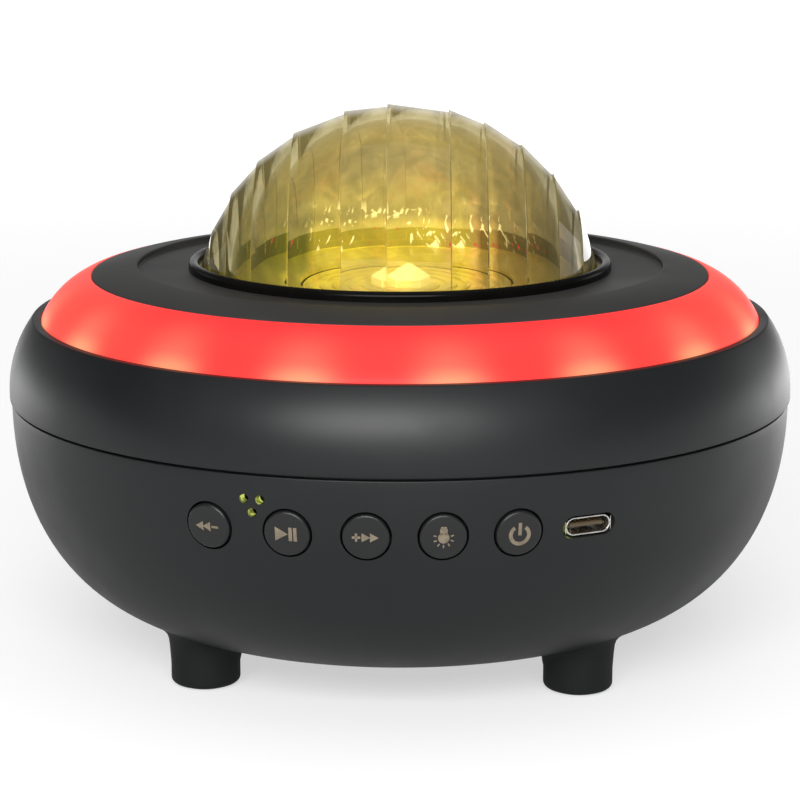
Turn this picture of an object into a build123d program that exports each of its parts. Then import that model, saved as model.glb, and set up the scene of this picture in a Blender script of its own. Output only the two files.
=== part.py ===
from build123d import *
import math
import os

# A saucer-shaped portable speaker that is also a dome light: a bowl on four feet, an upper shell with a lit
# ring, a top plate and a cut crystal dome. Millimetres, Z up, origin on the floor under the dome's axis.
# The buttons face -Y. An azimuth is measured from -Y, positive towards +X.

# Body outline
BODY_RADIUS = 77.5
SEAM_HEIGHT = 50.9
SEAM_SETBACK = 0.4
SEAM_GROOVE_HEIGHT = 0.5
SEAM_GROOVE_DEPTH = 0.9
UNDERSIDE_HEIGHT = 7.7
UNDERSIDE_RADIUS = 42.6
BOWL_FULLNESS = 2.23
WALL = 2.2
CROWN_BAND = 1.1
CROWN_RISE = 27.2
CROWN_CENTRE_RADIUS = 40.9
CROWN_FULLNESS = 2.1
TONGUE_DROP = 3.0
TONGUE_WALL = 1.5
CURVE_SPANS = 8

# Clearances
FIT = 0.15
RUNNING_FIT = 0.05
MOVING_GAP = 0.3

# Lit ring
RING_FOOT_INSET = 6.6
RING_FOOT_RISE = 15.3
RING_SPAN = 9.8
RING_HEAD_RISE = 8.3
RING_BULGE = 1.35
RING_WALL = 2.0
RING_SEAT = 1.5
RING_HEAD_THICKNESS = 2.2
SHELF_DROP = 3.0
SHELF_THICKNESS = 2.2
SHELF_WIDTH = 25.0
RING_BOARD_THICKNESS = 1.2
RING_LED_COUNT = 18
RING_LED_AZIMUTH = 6.5
RING_LED_SIZE = 3.5
RING_LED_HEIGHT = 1.9

# Top plate, dome ring and dome
PLATE_RIM_BAND = 9.0
PLATE_FLAT_BAND = 10.075
PLATE_RIDGE_RISE = 1.7
PLATE_STEP = 1.1
PLATE_THICKNESS = 2.2
PLATE_RIM_WALL = 3.0
PLATE_CROWN = 0.25
COLLAR_WALL = 2.7
LEDGE_WIDTH = 4.0
LEDGE_THICKNESS = 1.6
DOME_SINK = 8.1
DOME_WALL = 3.0
DOME_FLANGE_THICKNESS = 1.5
DOME_FLANGE_INSET = 0.75
DOME_RING_GAP = 0.5
DOME_RING_WIDTH = 2.0
DOME_RING_HEIGHT = 1.9
DOME_RING_EDGE = 0.4
FACET_ANGLES = (-78.0, -67.5, -56.0, -44.5, -31.5, -15.9, -3.6, 13.7, 24.2, 36.3, 48.8, 61.5, 79.0)
FACET_STEP = 0.55

# Projector under the dome
DISH_THICKNESS = 0.8
DISH_DROP = 1.2
DISH_LAND = 1.5
ROTOR_RADIUS = 21.5
ROTOR_THICKNESS = 1.5
ROTOR_GAP = 0.8
RIPPLE_COUNT = 3
RIPPLE_DEPTH = 0.35
HUB_RADIUS = 13.5
HUB_WALL = 1.5
HUB_LENGTH = 3.0
FRAME_THICKNESS = 2.0
FRAME_LAP = 3.0
BEARING_WALL = 1.9
GEAR_MODULE = 0.8
GEAR_TEETH = 48
PINION_TEETH = 14
GEAR_ADDENDUM = 0.8
GEAR_DEDENDUM = 1.1
GEAR_BACKLASH = 0.16
PRESSURE_ANGLE = 20.0
FLANK_SPANS = 4
GEAR_RIM = 1.8
GEAR_WIDTH = 2.6
SHAFT_RADIUS = 1.0
SHAFT_DEPTH = 4.0
MOTOR_RADIUS = 7.5
MOTOR_HEIGHT = 12.0
LED_BOARD_INSET = 0.8
LED_BOARD_THICKNESS = 1.2
LAMP_LED_SIZE = 3.2
LAMP_LED_PITCH = 5.0
LAMP_LED_HEIGHT = 0.9
LENS_RADIUS = 6.2
LENS_TOP_RADIUS = 0.8
LENS_SKIRT = 1.6
LENS_HEIGHT = 4.0

# Feet and the screws that join the shells
FOOT_RADIUS = 6.95
FOOT_TIP_RADIUS = 6.6
FOOT_EDGE = 1.0
FOOT_INSET = 27.2
FOOT_AZIMUTH = 42.3
FOOT_COUNT = 4
FOOT_LIFT = 0.3
PAD_RADIUS = 5.0
PAD_THICKNESS = 1.8
POST_RADIUS = 4.6
POST_DROP = 0.9
POST_SEAT_THICKNESS = 8.0
SCREW_ACCESS_RADIUS = 3.2
SHELL_SCREW_RADIUS = 1.4
SHELL_SCREW_GRIP = 7.0
SCREW_HEAD_HEIGHT = 1.6
SCREW_HEAD_FLANGE = 1.3

# Button row, port and light holes
BUTTON_NAMES = ("rewind", "play", "forward", "light", "power")
BUTTON_DROP = 10.5
BUTTON_AZIMUTHS = (-25.9, -14.8, -4.4, 5.6, 15.6)
BUTTON_RADIUS = 4.15
BUTTON_PROUD = 0.6
BUTTON_EDGE = 0.55
BUTTON_FLANGE = 1.05
BUTTON_FLANGE_THICKNESS = 1.1
BUTTON_TRAVEL = 0.6
BOSS_WALL = 2.0
BOSS_DEPTH = 1.7
STEM_RADIUS = 1.3
STEM_LENGTH = 1.6
PLUNGER_WIDTH = 3.0
PLUNGER_HEIGHT = 1.6
PLUNGER_REACH = 1.0
PLUNGER_ROOT = 1.3
SWITCH_WIDTH = 6.2
SWITCH_DEPTH = 3.6
PORT_AZIMUTH = 25.7
PORT_WIDTH = 8.94
PORT_HEIGHT = 3.26
PORT_DEPTH = 7.3
PORT_WALL = 0.3
PORT_RECESS = 0.5
PORT_SLOT_SIDE = 0.75
PORT_SLOT_RISE = 0.45
PORT_BLOCK = 1.8
PORT_TONGUE_WIDTH = 6.7
PORT_TONGUE_HEIGHT = 0.7
PORT_TONGUE_INSET = 0.7
LIGHT_HOLE_RADIUS = 0.85
LIGHT_HOLE_PITCH = 3.0
LIGHT_HOLE_RISE = 5.7
LIGHT_HOLE_AZIMUTH = -19.45
LIGHT_HOLE_FALL = 2.4

# Main board
BOARD_THICKNESS = 1.6
BOARD_WIDTH = 22.0
BOARD_HALF_ANGLE = 34.0
BOARD_TAB_SIDE = 0.4
BOARD_TAB_REACH = 3.0
BOARD_POST_RADIUS = 3.0
BOARD_POST_INSET = 14.0
BOARD_POST_AZIMUTHS = (-30.0, -10.0, 10.0, 30.0)
SMALL_SCREW_RADIUS = 1.1
SMALL_SCREW_LENGTH = 5.0
GUIDE_WIDTH = 5.2
GUIDE_DEPTH = 2.2
GUIDE_RISE = 1.2
STATUS_LED_SIZE = 1.6
CHIP_SIZES = ((9.0, 9.0, 1.2), (5.0, 5.0, 1.0), (6.0, 4.0, 1.5))
CHIP_AZIMUTHS = (-20.0, 0.0, 20.0)
CHIP_INSET = 16.0
CAPACITOR_RADIUS = 3.0
CAPACITOR_HEIGHT = 8.0
CAPACITOR_AZIMUTHS = (0.0, 20.0)
CAPACITOR_INSET = 9.5

# Speaker, firing down through the grille
GRILLE_HOLE_RADIUS = 1.4
GRILLE_PITCH = 4.8
GRILLE_RINGS = 3
GASKET_HEIGHT = 2.4
GASKET_WIDTH = 2.6
SPEAKER_RADIUS = 30.0
SPEAKER_MOUTH_RADIUS = 20.9
SPEAKER_FLANGE = 1.4
SPEAKER_SCREW_INSET = 2.8
SPEAKER_SCREW_COUNT = 4
SURROUND_LAND = 1.1
SURROUND_LAND_HEIGHT = 0.6
SURROUND_RUBBER = 0.5
SURROUND_ROLL = 1.2
BASKET_HEIGHT = 12.0
BASKET_WALL = 1.4
BASKET_WINDOWS = 6
BASKET_WINDOW_WIDTH = 8.0
BASKET_NECK_RADIUS = 15.0
BASKET_BACK = 1.2
FRONT_PLATE_THICKNESS = 2.0
FRONT_PLATE_RADIUS = 14.0
MAGNET_RADIUS = 16.0
MAGNET_HOLE_RADIUS = 8.5
MAGNET_HEIGHT = 6.0
YOKE_RADIUS = 14.5
YOKE_THICKNESS = 2.0
COIL_RADIUS = 6.2
COIL_WALL = 0.3
COIL_LENGTH = 10.4
CONE_THICKNESS = 0.6
CONE_DEPTH = 7.1
CONE_TRAVEL = 1.2
CAP_OVERLAP = 0.7
CAP_RISE = 2.2
CAP_THICKNESS = 0.4
SPIDER_THICKNESS = 0.4
SPIDER_WAVE = 0.5
SPIDER_WAVES = 4
SPIDER_LEDGE_DEPTH = 3.2
SPIDER_LEDGE_WIDTH = 2.4
SPIDER_LEDGE_THICKNESS = 0.9

# Battery
CELL_RADIUS = 9.15
CELL_LENGTH = 49.8
CELL_NUB_RADIUS = 2.8
CELL_NUB_LENGTH = 1.0
CRADLE_LIFT = 9.0
CRADLE_CLEARANCE = 0.95
CRADLE_FLOOR = 1.6
CRADLE_WALL = 1.6
CRADLE_TAB = 7.0
CRADLE_TAB_WIDTH = 8.0
CRADLE_POST_RADIUS = 3.0

# Insulated leads from the speaker and the battery to the main board
LEAD_RADIUS = 0.6
LEAD_BEND = 4.0
LEAD_BEND_SHARE = 0.48
LEAD_PITCH = 3.0
LEAD_INSET = 3.0
LEAD_STANDOFF = 5.5
LEAD_RISE = 6.0
LEAD_CLEARANCE = 2.0

# Heights and radii that follow from the sizes above
BOWL_RADIUS = BODY_RADIUS - SEAM_SETBACK
BOWL_REACH = BOWL_RADIUS - UNDERSIDE_RADIUS
BOWL_DEPTH = SEAM_HEIGHT - UNDERSIDE_HEIGHT
FLOOR_Z = UNDERSIDE_HEIGHT + WALL
CROWN_Z = SEAM_HEIGHT + CROWN_BAND
CROWN_REACH = BODY_RADIUS - CROWN_CENTRE_RADIUS
RING_FOOT_RADIUS = BODY_RADIUS - RING_FOOT_INSET
RING_HEAD_RADIUS = RING_FOOT_RADIUS - RING_SPAN
RING_FOOT_Z = SEAM_HEIGHT + RING_FOOT_RISE
RING_HEAD_Z = RING_FOOT_Z + RING_HEAD_RISE
SHELF_Z = RING_FOOT_Z - SHELF_DROP
SHELF_UNDER_Z = SHELF_Z - SHELF_THICKNESS
UPRIGHT_Z = RING_HEAD_Z - RING_HEAD_THICKNESS
UPRIGHT_RADIUS = RING_HEAD_RADIUS + RING_SEAT
UPRIGHT_INNER_RADIUS = RING_HEAD_RADIUS - RING_SEAT
SHELF_RADIUS = RING_FOOT_RADIUS - SHELF_WIDTH
PLATE_RADIUS = RING_HEAD_RADIUS - FIT
PLATE_STEP_RADIUS = PLATE_RADIUS - PLATE_RIM_BAND
PLATE_RIDGE_Z = RING_HEAD_Z + PLATE_RIDGE_RISE
PLATE_FLAT_Z = PLATE_RIDGE_Z - PLATE_STEP
DOME_Z = PLATE_FLAT_Z - DOME_SINK
DOME_RING_RADIUS = PLATE_STEP_RADIUS - PLATE_FLAT_BAND
DOME_RING_INNER = DOME_RING_RADIUS - DOME_RING_WIDTH
DOME_BASE_RADIUS = DOME_RING_INNER - DOME_RING_GAP
DOME_RADIUS = math.hypot(DOME_BASE_RADIUS, DOME_SINK)
DOME_FLANGE_RADIUS = DOME_RING_RADIUS - DOME_FLANGE_INSET
FLANGE_Z = PLATE_FLAT_Z - DOME_FLANGE_THICKNESS
LEDGE_Z = FLANGE_Z - DISH_THICKNESS
COUNTERBORE_RADIUS = DOME_FLANGE_RADIUS + FIT
PLATE_HOLE_RADIUS = COUNTERBORE_RADIUS - LEDGE_WIDTH
COLLAR_Z = LEDGE_Z - LEDGE_THICKNESS
ROTOR_TOP_Z = LEDGE_Z - DISH_DROP
ROTOR_Z = ROTOR_TOP_Z - ROTOR_THICKNESS
DISH_HOLE_RADIUS = ROTOR_RADIUS + ROTOR_GAP
FRAME_Z = SHELF_Z + FRAME_THICKNESS
BEARING_Z = ROTOR_Z - MOVING_GAP
BEARING_BORE = HUB_RADIUS + RUNNING_FIT
GEAR_RADIUS = GEAR_MODULE * GEAR_TEETH / 2
PINION_RADIUS = GEAR_MODULE * PINION_TEETH / 2
GEAR_CENTRES = GEAR_RADIUS + PINION_RADIUS
FOOT_PITCH_RADIUS = BODY_RADIUS - FOOT_INSET
POST_Z = SEAM_HEIGHT - POST_DROP
POST_SEAT_Z = POST_Z - POST_SEAT_THICKNESS
BUTTON_Z = SEAM_HEIGHT - BUTTON_DROP
GUIDE_AZIMUTH = (BUTTON_AZIMUTHS[0] + BUTTON_AZIMUTHS[1]) / 2
BOARD_TOP_Z = BUTTON_Z - PORT_HEIGHT / 2
BOARD_UNDER_Z = BOARD_TOP_Z - BOARD_THICKNESS
SPEAKER_Z = FLOOR_Z + GASKET_HEIGHT
SPEAKER_BACK_Z = SPEAKER_Z + SPEAKER_FLANGE + BASKET_HEIGHT
MAGNET_Z = SPEAKER_BACK_Z + BASKET_BACK + FRONT_PLATE_THICKNESS
YOKE_Z = MAGNET_Z + MAGNET_HEIGHT
CRADLE_Z = FLOOR_Z + CRADLE_LIFT
CRADLE_ROOM = CELL_LENGTH + 2 * CELL_NUB_LENGTH
CRADLE_LENGTH = CRADLE_ROOM + 2 * CRADLE_WALL
CRADLE_DEPTH = 2 * (CELL_RADIUS + FIT + CRADLE_WALL)
CELL_Z = CRADLE_Z + CRADLE_FLOOR + CELL_RADIUS + FIT


def bowl_radius(z, inset=0.0):
    """Radius of the lower shell's surface, moved inwards by inset, at height z."""
    fall = (SEAM_HEIGHT - z) / (BOWL_DEPTH - inset)
    return UNDERSIDE_RADIUS + (BOWL_REACH - inset) * (1 - fall ** BOWL_FULLNESS) ** (1 / BOWL_FULLNESS)


# The wall behind the battery sets how far back its cradle stands.
CRADLE_BACK = math.sqrt((bowl_radius(CRADLE_Z, WALL) - CRADLE_CLEARANCE) ** 2 - (CRADLE_LENGTH / 2) ** 2)
CELL_SET_BACK = CRADLE_BACK - CRADLE_DEPTH / 2

# The wall at the button row sets the depth of the switches and the board behind it.
WALL_AT_BUTTONS = bowl_radius(BUTTON_Z)
BOSS_FACE = bowl_radius(BUTTON_Z, WALL) - BOSS_DEPTH
FLANGE_FACE = BOSS_FACE - MOVING_GAP
STEM_END = FLANGE_FACE - BUTTON_FLANGE_THICKNESS - STEM_LENGTH
SWITCH_FACE = STEM_END - PLUNGER_REACH
BOARD_RADIUS = FLANGE_FACE - BUTTON_FLANGE_THICKNESS - BUTTON_TRAVEL - 2 * MOVING_GAP
PORT_FACE = WALL_AT_BUTTONS - PORT_RECESS


def quarter(centre, reach, fullness, start=0.0, stop=90.0):
    """Curve along a quarter superellipse in (radius, height), its widest point at 0 and its pole at 90."""
    points = []
    slopes = []
    for i in range(CURVE_SPANS + 1):
        angle = math.radians(start + (stop - start) * i / CURVE_SPANS)
        across = max(math.cos(angle), 0.0) ** (2 / fullness)
        along = max(math.sin(angle), 0.0) ** (2 / fullness)
        points.append((centre[0] + reach[0] * across, centre[1] + reach[1] * along))
        slopes.append((-reach[0] * along ** (fullness - 1), reach[1] * across ** (fullness - 1)))
    return Spline(*points, tangents=(slopes[0], slopes[-1]))


def spun(*edges):
    """Solid of revolution about Z of a closed (radius, height) outline."""
    return revolve(Plane.XZ * make_face(Wire(edges)), Axis.Z)


def turned(*corners):
    """Solid of revolution about Z of a (radius, height) polygon."""
    return spun(*Polyline(*corners, close=True).edges())


def washer(inner, outer, low, high):
    return turned((inner, low), (outer, low), (outer, high), (inner, high))


def rod(radius, low, high, x=0.0, y=0.0):
    return Pos(x, y, (low + high) / 2) * Cylinder(radius, high - low)


def block(x_size, y_size, low, high, x=0.0, y=0.0):
    return Pos(x, y, (low + high) / 2) * Box(x_size, y_size, high - low)


def outward(shape_radius, near, far, z):
    """Cylinder lying along -Y, between two distances from the axis."""
    return Pos(0, -(near + far) / 2, z) * Rot(90, 0, 0) * Cylinder(shape_radius, far - near)


def slab(width, height, near, far, z):
    """Box lying along -Y, between two distances from the axis."""
    return Pos(0, -(near + far) / 2, z) * Box(width, far - near, height)


def stadium(width, height, near, far, z):
    """Bar of round-ended section lying along -Y, between two distances from the axis."""
    section = SlotOverall(width, height)
    return extrude(Plane((0, -near, z), x_dir=(1, 0, 0), z_dir=(0, -1, 0)) * section, far - near)


def swung(shape, azimuth):
    return Rot(0, 0, azimuth) * shape


def spot(radius, azimuth):
    angle = math.radians(azimuth)
    return radius * math.sin(angle), -radius * math.cos(angle)


def wedge(half_angle, radius, low, high):
    """Sector about -Y that reaches past radius on all sides."""
    reach = radius / math.cos(math.radians(half_angle))
    left = spot(reach, -half_angle)
    right = spot(reach, half_angle)
    face = make_face(Polyline((0, 0), left, right, close=True))
    return Pos(0, 0, low) * extrude(face, high - low)


def screw(radius, head_z, length, x, y, up):
    """Round-headed screw, its head's seat at head_z and its shank pointing up or down."""
    way = 1 if up else -1
    tip = head_z + way * length
    head = head_z - way * SCREW_HEAD_HEIGHT
    shank = rod(radius, min(head_z, tip), max(head_z, tip), x, y)
    return shank + rod(radius + SCREW_HEAD_FLANGE, min(head_z, head), max(head_z, head), x, y)


def group(shapes):
    return Compound(children=list(shapes))


def spread(count, start):
    return [start + i * 360 / count for i in range(count)]


FOOT_AZIMUTHS = spread(FOOT_COUNT, FOOT_AZIMUTH)
PLATE_BOSS_AZIMUTHS = spread(FOOT_COUNT, FOOT_AZIMUTH + 180 / FOOT_COUNT)
PLATE_BOSS_PITCH_RADIUS = PLATE_RADIUS - PLATE_RIM_WALL - POST_RADIUS
FRAME_RADIUS = SHELF_RADIUS + FRAME_LAP
FRAME_SCREW_PITCH_RADIUS = SHELF_RADIUS + FRAME_LAP / 2
SPEAKER_SCREW_PITCH_RADIUS = SPEAKER_RADIUS - SPEAKER_SCREW_INSET
BOARD_POST_PITCH_RADIUS = BOARD_RADIUS - BOARD_POST_INSET
CRADLE_TAB_X = (CRADLE_LENGTH + CRADLE_TAB) / 2


def bowl(inset=0.0):
    """Solid bowl under the seam, its surface moved inwards by inset."""
    low = UNDERSIDE_HEIGHT + inset
    curve = quarter((UNDERSIDE_RADIUS, SEAM_HEIGHT), (BOWL_REACH - inset, inset - BOWL_DEPTH), BOWL_FULLNESS)
    rest = Polyline((UNDERSIDE_RADIUS, low), (0, low), (0, SEAM_HEIGHT), (BOWL_RADIUS - inset, SEAM_HEIGHT))
    return spun(curve, *rest.edges())


def grille_spots():
    spots = [(0.0, 0.0)]
    for ring in range(1, GRILLE_RINGS + 1):
        spots += [spot(ring * GRILLE_PITCH, azimuth) for azimuth in spread(6 * ring, 0)]
    return spots


def light_holes():
    """Azimuth and height of the three small holes, two above one."""
    high = BUTTON_Z + LIGHT_HOLE_RISE
    half = math.degrees(LIGHT_HOLE_PITCH / 2 / WALL_AT_BUTTONS)
    return [
        (LIGHT_HOLE_AZIMUTH - half, high),
        (LIGHT_HOLE_AZIMUTH + half, high),
        (LIGHT_HOLE_AZIMUTH, high - LIGHT_HOLE_FALL),
    ]


def base_shell():
    solid = bowl()
    shell = solid - bowl(WALL)
    past = BODY_RADIUS + WALL
    added = []
    cut = [washer(BOWL_RADIUS - SEAM_GROOVE_DEPTH, past, SEAM_HEIGHT - SEAM_GROOVE_HEIGHT, SEAM_HEIGHT)]
    for azimuth in FOOT_AZIMUTHS:
        x, y = spot(FOOT_PITCH_RADIUS, azimuth)
        added.append(rod(POST_RADIUS, 0, POST_Z, x, y) & solid)
        cut.append(rod(SCREW_ACCESS_RADIUS, 0, POST_SEAT_Z, x, y))
        cut.append(rod(SHELL_SCREW_RADIUS + FIT, 0, SEAM_HEIGHT, x, y))
    for azimuth in BOARD_POST_AZIMUTHS:
        x, y = spot(BOARD_POST_PITCH_RADIUS, azimuth)
        added.append(rod(BOARD_POST_RADIUS, 0, BOARD_UNDER_Z, x, y) & solid)
        cut.append(rod(SMALL_SCREW_RADIUS, BOARD_TOP_Z - SMALL_SCREW_LENGTH, BOARD_TOP_Z, x, y))
    for azimuth in spread(SPEAKER_SCREW_COUNT, 45):
        x, y = spot(SPEAKER_SCREW_PITCH_RADIUS, azimuth)
        added.append(rod(SPEAKER_SCREW_INSET, UNDERSIDE_HEIGHT, SPEAKER_Z, x, y))
        low = SPEAKER_Z + SPEAKER_FLANGE - SMALL_SCREW_LENGTH
        cut.append(rod(SMALL_SCREW_RADIUS, low, SPEAKER_Z, x, y))
    for side in (-1, 1):
        post = rod(CRADLE_POST_RADIUS, 0, CRADLE_Z, side * CRADLE_TAB_X, CELL_SET_BACK)
        added.append(post & solid)
        low = CRADLE_Z + CRADLE_FLOOR - SMALL_SCREW_LENGTH
        cut.append(rod(SMALL_SCREW_RADIUS, low, CRADLE_Z, side * CRADLE_TAB_X, CELL_SET_BACK))
    for azimuth in BUTTON_AZIMUTHS:
        boss = outward(BUTTON_RADIUS + MOVING_GAP + BOSS_WALL, BOSS_FACE, past, BUTTON_Z)
        added.append(swung(boss, azimuth) & solid)
        cut.append(swung(outward(BUTTON_RADIUS + MOVING_GAP, BOARD_RADIUS, past, BUTTON_Z), azimuth))
    slot = stadium(PORT_WIDTH + 2 * PORT_SLOT_SIDE, PORT_HEIGHT + 2 * PORT_SLOT_RISE, BOARD_RADIUS, past,
                   BUTTON_Z)
    cut.append(swung(slot, PORT_AZIMUTH))
    for azimuth, z in light_holes():
        cut.append(swung(outward(LIGHT_HOLE_RADIUS, BOARD_RADIUS, past, z), azimuth))
    for x, y in grille_spots():
        cut.append(rod(GRILLE_HOLE_RADIUS, 0, FLOOR_Z + WALL, x, y))
    return (shell + added) - cut


def upper_shell():
    lip = math.asin(((RING_FOOT_Z - CROWN_Z) / CROWN_RISE) ** (CROWN_FULLNESS / 2))
    inner_rise = CROWN_RISE - WALL
    shelf = math.asin(((SHELF_UNDER_Z - CROWN_Z) / inner_rise) ** (CROWN_FULLNESS / 2))
    centre = (CROWN_CENTRE_RADIUS, CROWN_Z)
    outer = quarter(centre, (CROWN_REACH, CROWN_RISE), CROWN_FULLNESS, 0, math.degrees(lip))
    inner = quarter(centre, (CROWN_REACH - WALL, inner_rise), CROWN_FULLNESS, 0, math.degrees(shelf))
    top = Polyline(
        outer @ 1,
        (RING_FOOT_RADIUS + FIT, RING_FOOT_Z),
        (RING_FOOT_RADIUS + FIT, SHELF_Z),
        (UPRIGHT_RADIUS, SHELF_Z),
        (UPRIGHT_RADIUS, UPRIGHT_Z),
        (UPRIGHT_INNER_RADIUS, UPRIGHT_Z),
        (UPRIGHT_INNER_RADIUS, SHELF_Z),
        (SHELF_RADIUS, SHELF_Z),
        (SHELF_RADIUS, SHELF_UNDER_Z),
        inner @ 1,
    )
    bottom = Polyline(
        inner @ 0,
        (BODY_RADIUS - WALL, SEAM_HEIGHT),
        (BODY_RADIUS, SEAM_HEIGHT),
        outer @ 0,
    )
    shell = spun(outer, *top.edges(), inner, *bottom.edges())
    tongue_outer = BOWL_RADIUS - WALL - FIT
    tongue_inner = tongue_outer - TONGUE_WALL
    tongue_top = SEAM_HEIGHT + TONGUE_WALL
    added = [
        washer(tongue_inner, tongue_outer, SEAM_HEIGHT - TONGUE_DROP, tongue_top),
        washer(tongue_inner, BODY_RADIUS - WALL / 2, SEAM_HEIGHT, tongue_top),
    ]
    cut = []
    for azimuth in FOOT_AZIMUTHS:
        x, y = spot(FOOT_PITCH_RADIUS, azimuth)
        added.append(rod(POST_RADIUS, POST_Z, SHELF_Z, x, y))
        cut.append(rod(SHELL_SCREW_RADIUS, POST_Z, POST_Z + SHELL_SCREW_GRIP, x, y))
    for azimuth in PLATE_BOSS_AZIMUTHS:
        x, y = spot(PLATE_BOSS_PITCH_RADIUS, azimuth)
        cut.append(rod(SMALL_SCREW_RADIUS + FIT, SHELF_UNDER_Z, SHELF_Z, x, y))
        x, y = spot(FRAME_SCREW_PITCH_RADIUS, azimuth)
        cut.append(rod(SMALL_SCREW_RADIUS, SHELF_UNDER_Z, SHELF_Z, x, y))
    return (shell + added) - cut


def light_ring():
    foot = (RING_FOOT_RADIUS, RING_FOOT_Z)
    head = (RING_HEAD_RADIUS, RING_HEAD_Z)
    inner_head = (UPRIGHT_RADIUS, UPRIGHT_Z)
    inner_foot = (RING_FOOT_RADIUS - RING_WALL, RING_FOOT_Z - RING_WALL / 2)
    outer = SagittaArc(foot, head, -RING_BULGE)
    inner = SagittaArc(inner_head, inner_foot, RING_BULGE)
    low = Polyline(inner_foot, (inner_foot[0], SHELF_Z), (foot[0], SHELF_Z), foot)
    high = Polyline(head, (RING_HEAD_RADIUS, UPRIGHT_Z), inner_head)
    return spun(outer, *high.edges(), inner, *low.edges())


def ring_lights():
    inner = UPRIGHT_RADIUS + FIT
    outer = RING_FOOT_RADIUS - RING_WALL - FIT
    middle = (inner + outer) / 2
    top = SHELF_Z + RING_BOARD_THICKNESS
    led = slab(RING_LED_SIZE, RING_LED_HEIGHT, middle - RING_LED_SIZE / 2, middle + RING_LED_SIZE / 2,
               top + RING_LED_HEIGHT / 2)
    return {
        "ring_light_board": washer(inner, outer, SHELF_Z, top),
        "ring_leds": group(swung(led, azimuth) for azimuth in spread(RING_LED_COUNT, RING_LED_AZIMUTH)),
    }


def top_plate():
    under = PLATE_FLAT_Z - PLATE_THICKNESS
    collar = COUNTERBORE_RADIUS + COLLAR_WALL
    ridge = (PLATE_STEP_RADIUS, PLATE_RIDGE_Z)
    rim = (PLATE_RADIUS, RING_HEAD_Z)
    crown = SagittaArc(ridge, rim, PLATE_CROWN)
    outside = Polyline(rim, (PLATE_RADIUS, UPRIGHT_Z), (PLATE_RADIUS - PLATE_RIM_WALL, UPRIGHT_Z),
                       (PLATE_RADIUS - PLATE_RIM_WALL, under), (collar, under), (collar, COLLAR_Z),
                       (PLATE_HOLE_RADIUS, COLLAR_Z), (PLATE_HOLE_RADIUS, LEDGE_Z),
                       (COUNTERBORE_RADIUS, LEDGE_Z), (COUNTERBORE_RADIUS, PLATE_FLAT_Z),
                       (PLATE_STEP_RADIUS, PLATE_FLAT_Z), ridge)
    plate = spun(crown, *outside.edges())
    for azimuth in PLATE_BOSS_AZIMUTHS:
        x, y = spot(PLATE_BOSS_PITCH_RADIUS, azimuth)
        plate += rod(BOARD_POST_RADIUS, SHELF_Z, under, x, y)
        plate -= rod(SMALL_SCREW_RADIUS, SHELF_Z, SHELF_UNDER_Z + SMALL_SCREW_LENGTH, x, y)
    return plate


def dome_ring():
    ring = washer(DOME_RING_INNER, DOME_RING_RADIUS, PLATE_FLAT_Z, PLATE_FLAT_Z + DOME_RING_HEIGHT)
    return fillet(ring.edges().group_by(Axis.Z)[-1], DOME_RING_EDGE)


def facet_outline():
    """Stepped half outline along X: each facet starts a step proud of the sphere and ends on it."""
    height = DOME_RADIUS - FACET_STEP
    scale = height / DOME_RADIUS
    edges = [math.radians(angle) for angle in FACET_ANGLES]
    corners = []
    for start, stop in zip(edges, edges[1:]):
        near = DOME_RADIUS * math.cos(start) * scale
        far = DOME_RADIUS * math.cos(stop) * scale
        corners += [(DOME_RADIUS * math.sin(start), near + FACET_STEP), (DOME_RADIUS * math.sin(stop), far)]
    return [(corners[0][0], 0)] + corners + [(corners[-1][0], 0)]


def crystal_dome():
    """The facets lie side by side and run over the top, so the dome is turned about a level axis."""
    face = Plane.XZ * make_face(Polyline(*facet_outline(), close=True))
    loaf = Pos(0, 0, DOME_Z) * revolve(face, Axis.X)
    reach = DOME_RADIUS + DOME_WALL
    dome = washer(0, DOME_FLANGE_RADIUS, FLANGE_Z, PLATE_FLAT_Z)
    dome += loaf & rod(reach, PLATE_FLAT_Z, DOME_Z + reach)
    return dome - Pos(0, 0, DOME_Z) * Sphere(DOME_RADIUS - DOME_WALL)


def gear(teeth, bore, width, phase):
    """Spur gear with involute flanks, standing on z = 0, with a tooth's middle at the angle phase."""
    pitch = GEAR_MODULE * teeth / 2
    base = pitch * math.cos(math.radians(PRESSURE_ANGLE))
    tip = pitch + GEAR_MODULE * GEAR_ADDENDUM
    root = pitch - GEAR_MODULE * GEAR_DEDENDUM

    def involute(radius):
        angle = math.acos(min(base / radius, 1.0))
        return math.tan(angle) - angle

    half = math.pi / 2 / teeth - GEAR_BACKLASH / 4 / pitch + involute(pitch)
    start = max(base, root)
    flank = [(start + (tip - start) * i / FLANK_SPANS) for i in range(FLANK_SPANS + 1)]
    steps = [(radius, half - involute(radius)) for radius in flank]
    if root < base:
        steps = [(root, steps[0][1])] + steps
    outline = []
    for tooth in range(teeth):
        middle = math.radians(phase) + 2 * math.pi * tooth / teeth
        outline += [(radius, middle - turn) for radius, turn in steps]
        outline += [(radius, middle + turn) for radius, turn in reversed(steps)]
    corners = [(radius * math.cos(angle), radius * math.sin(angle)) for radius, angle in outline]
    return extrude(make_face(Polyline(*corners, close=True)) - Circle(bore), width)


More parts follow.
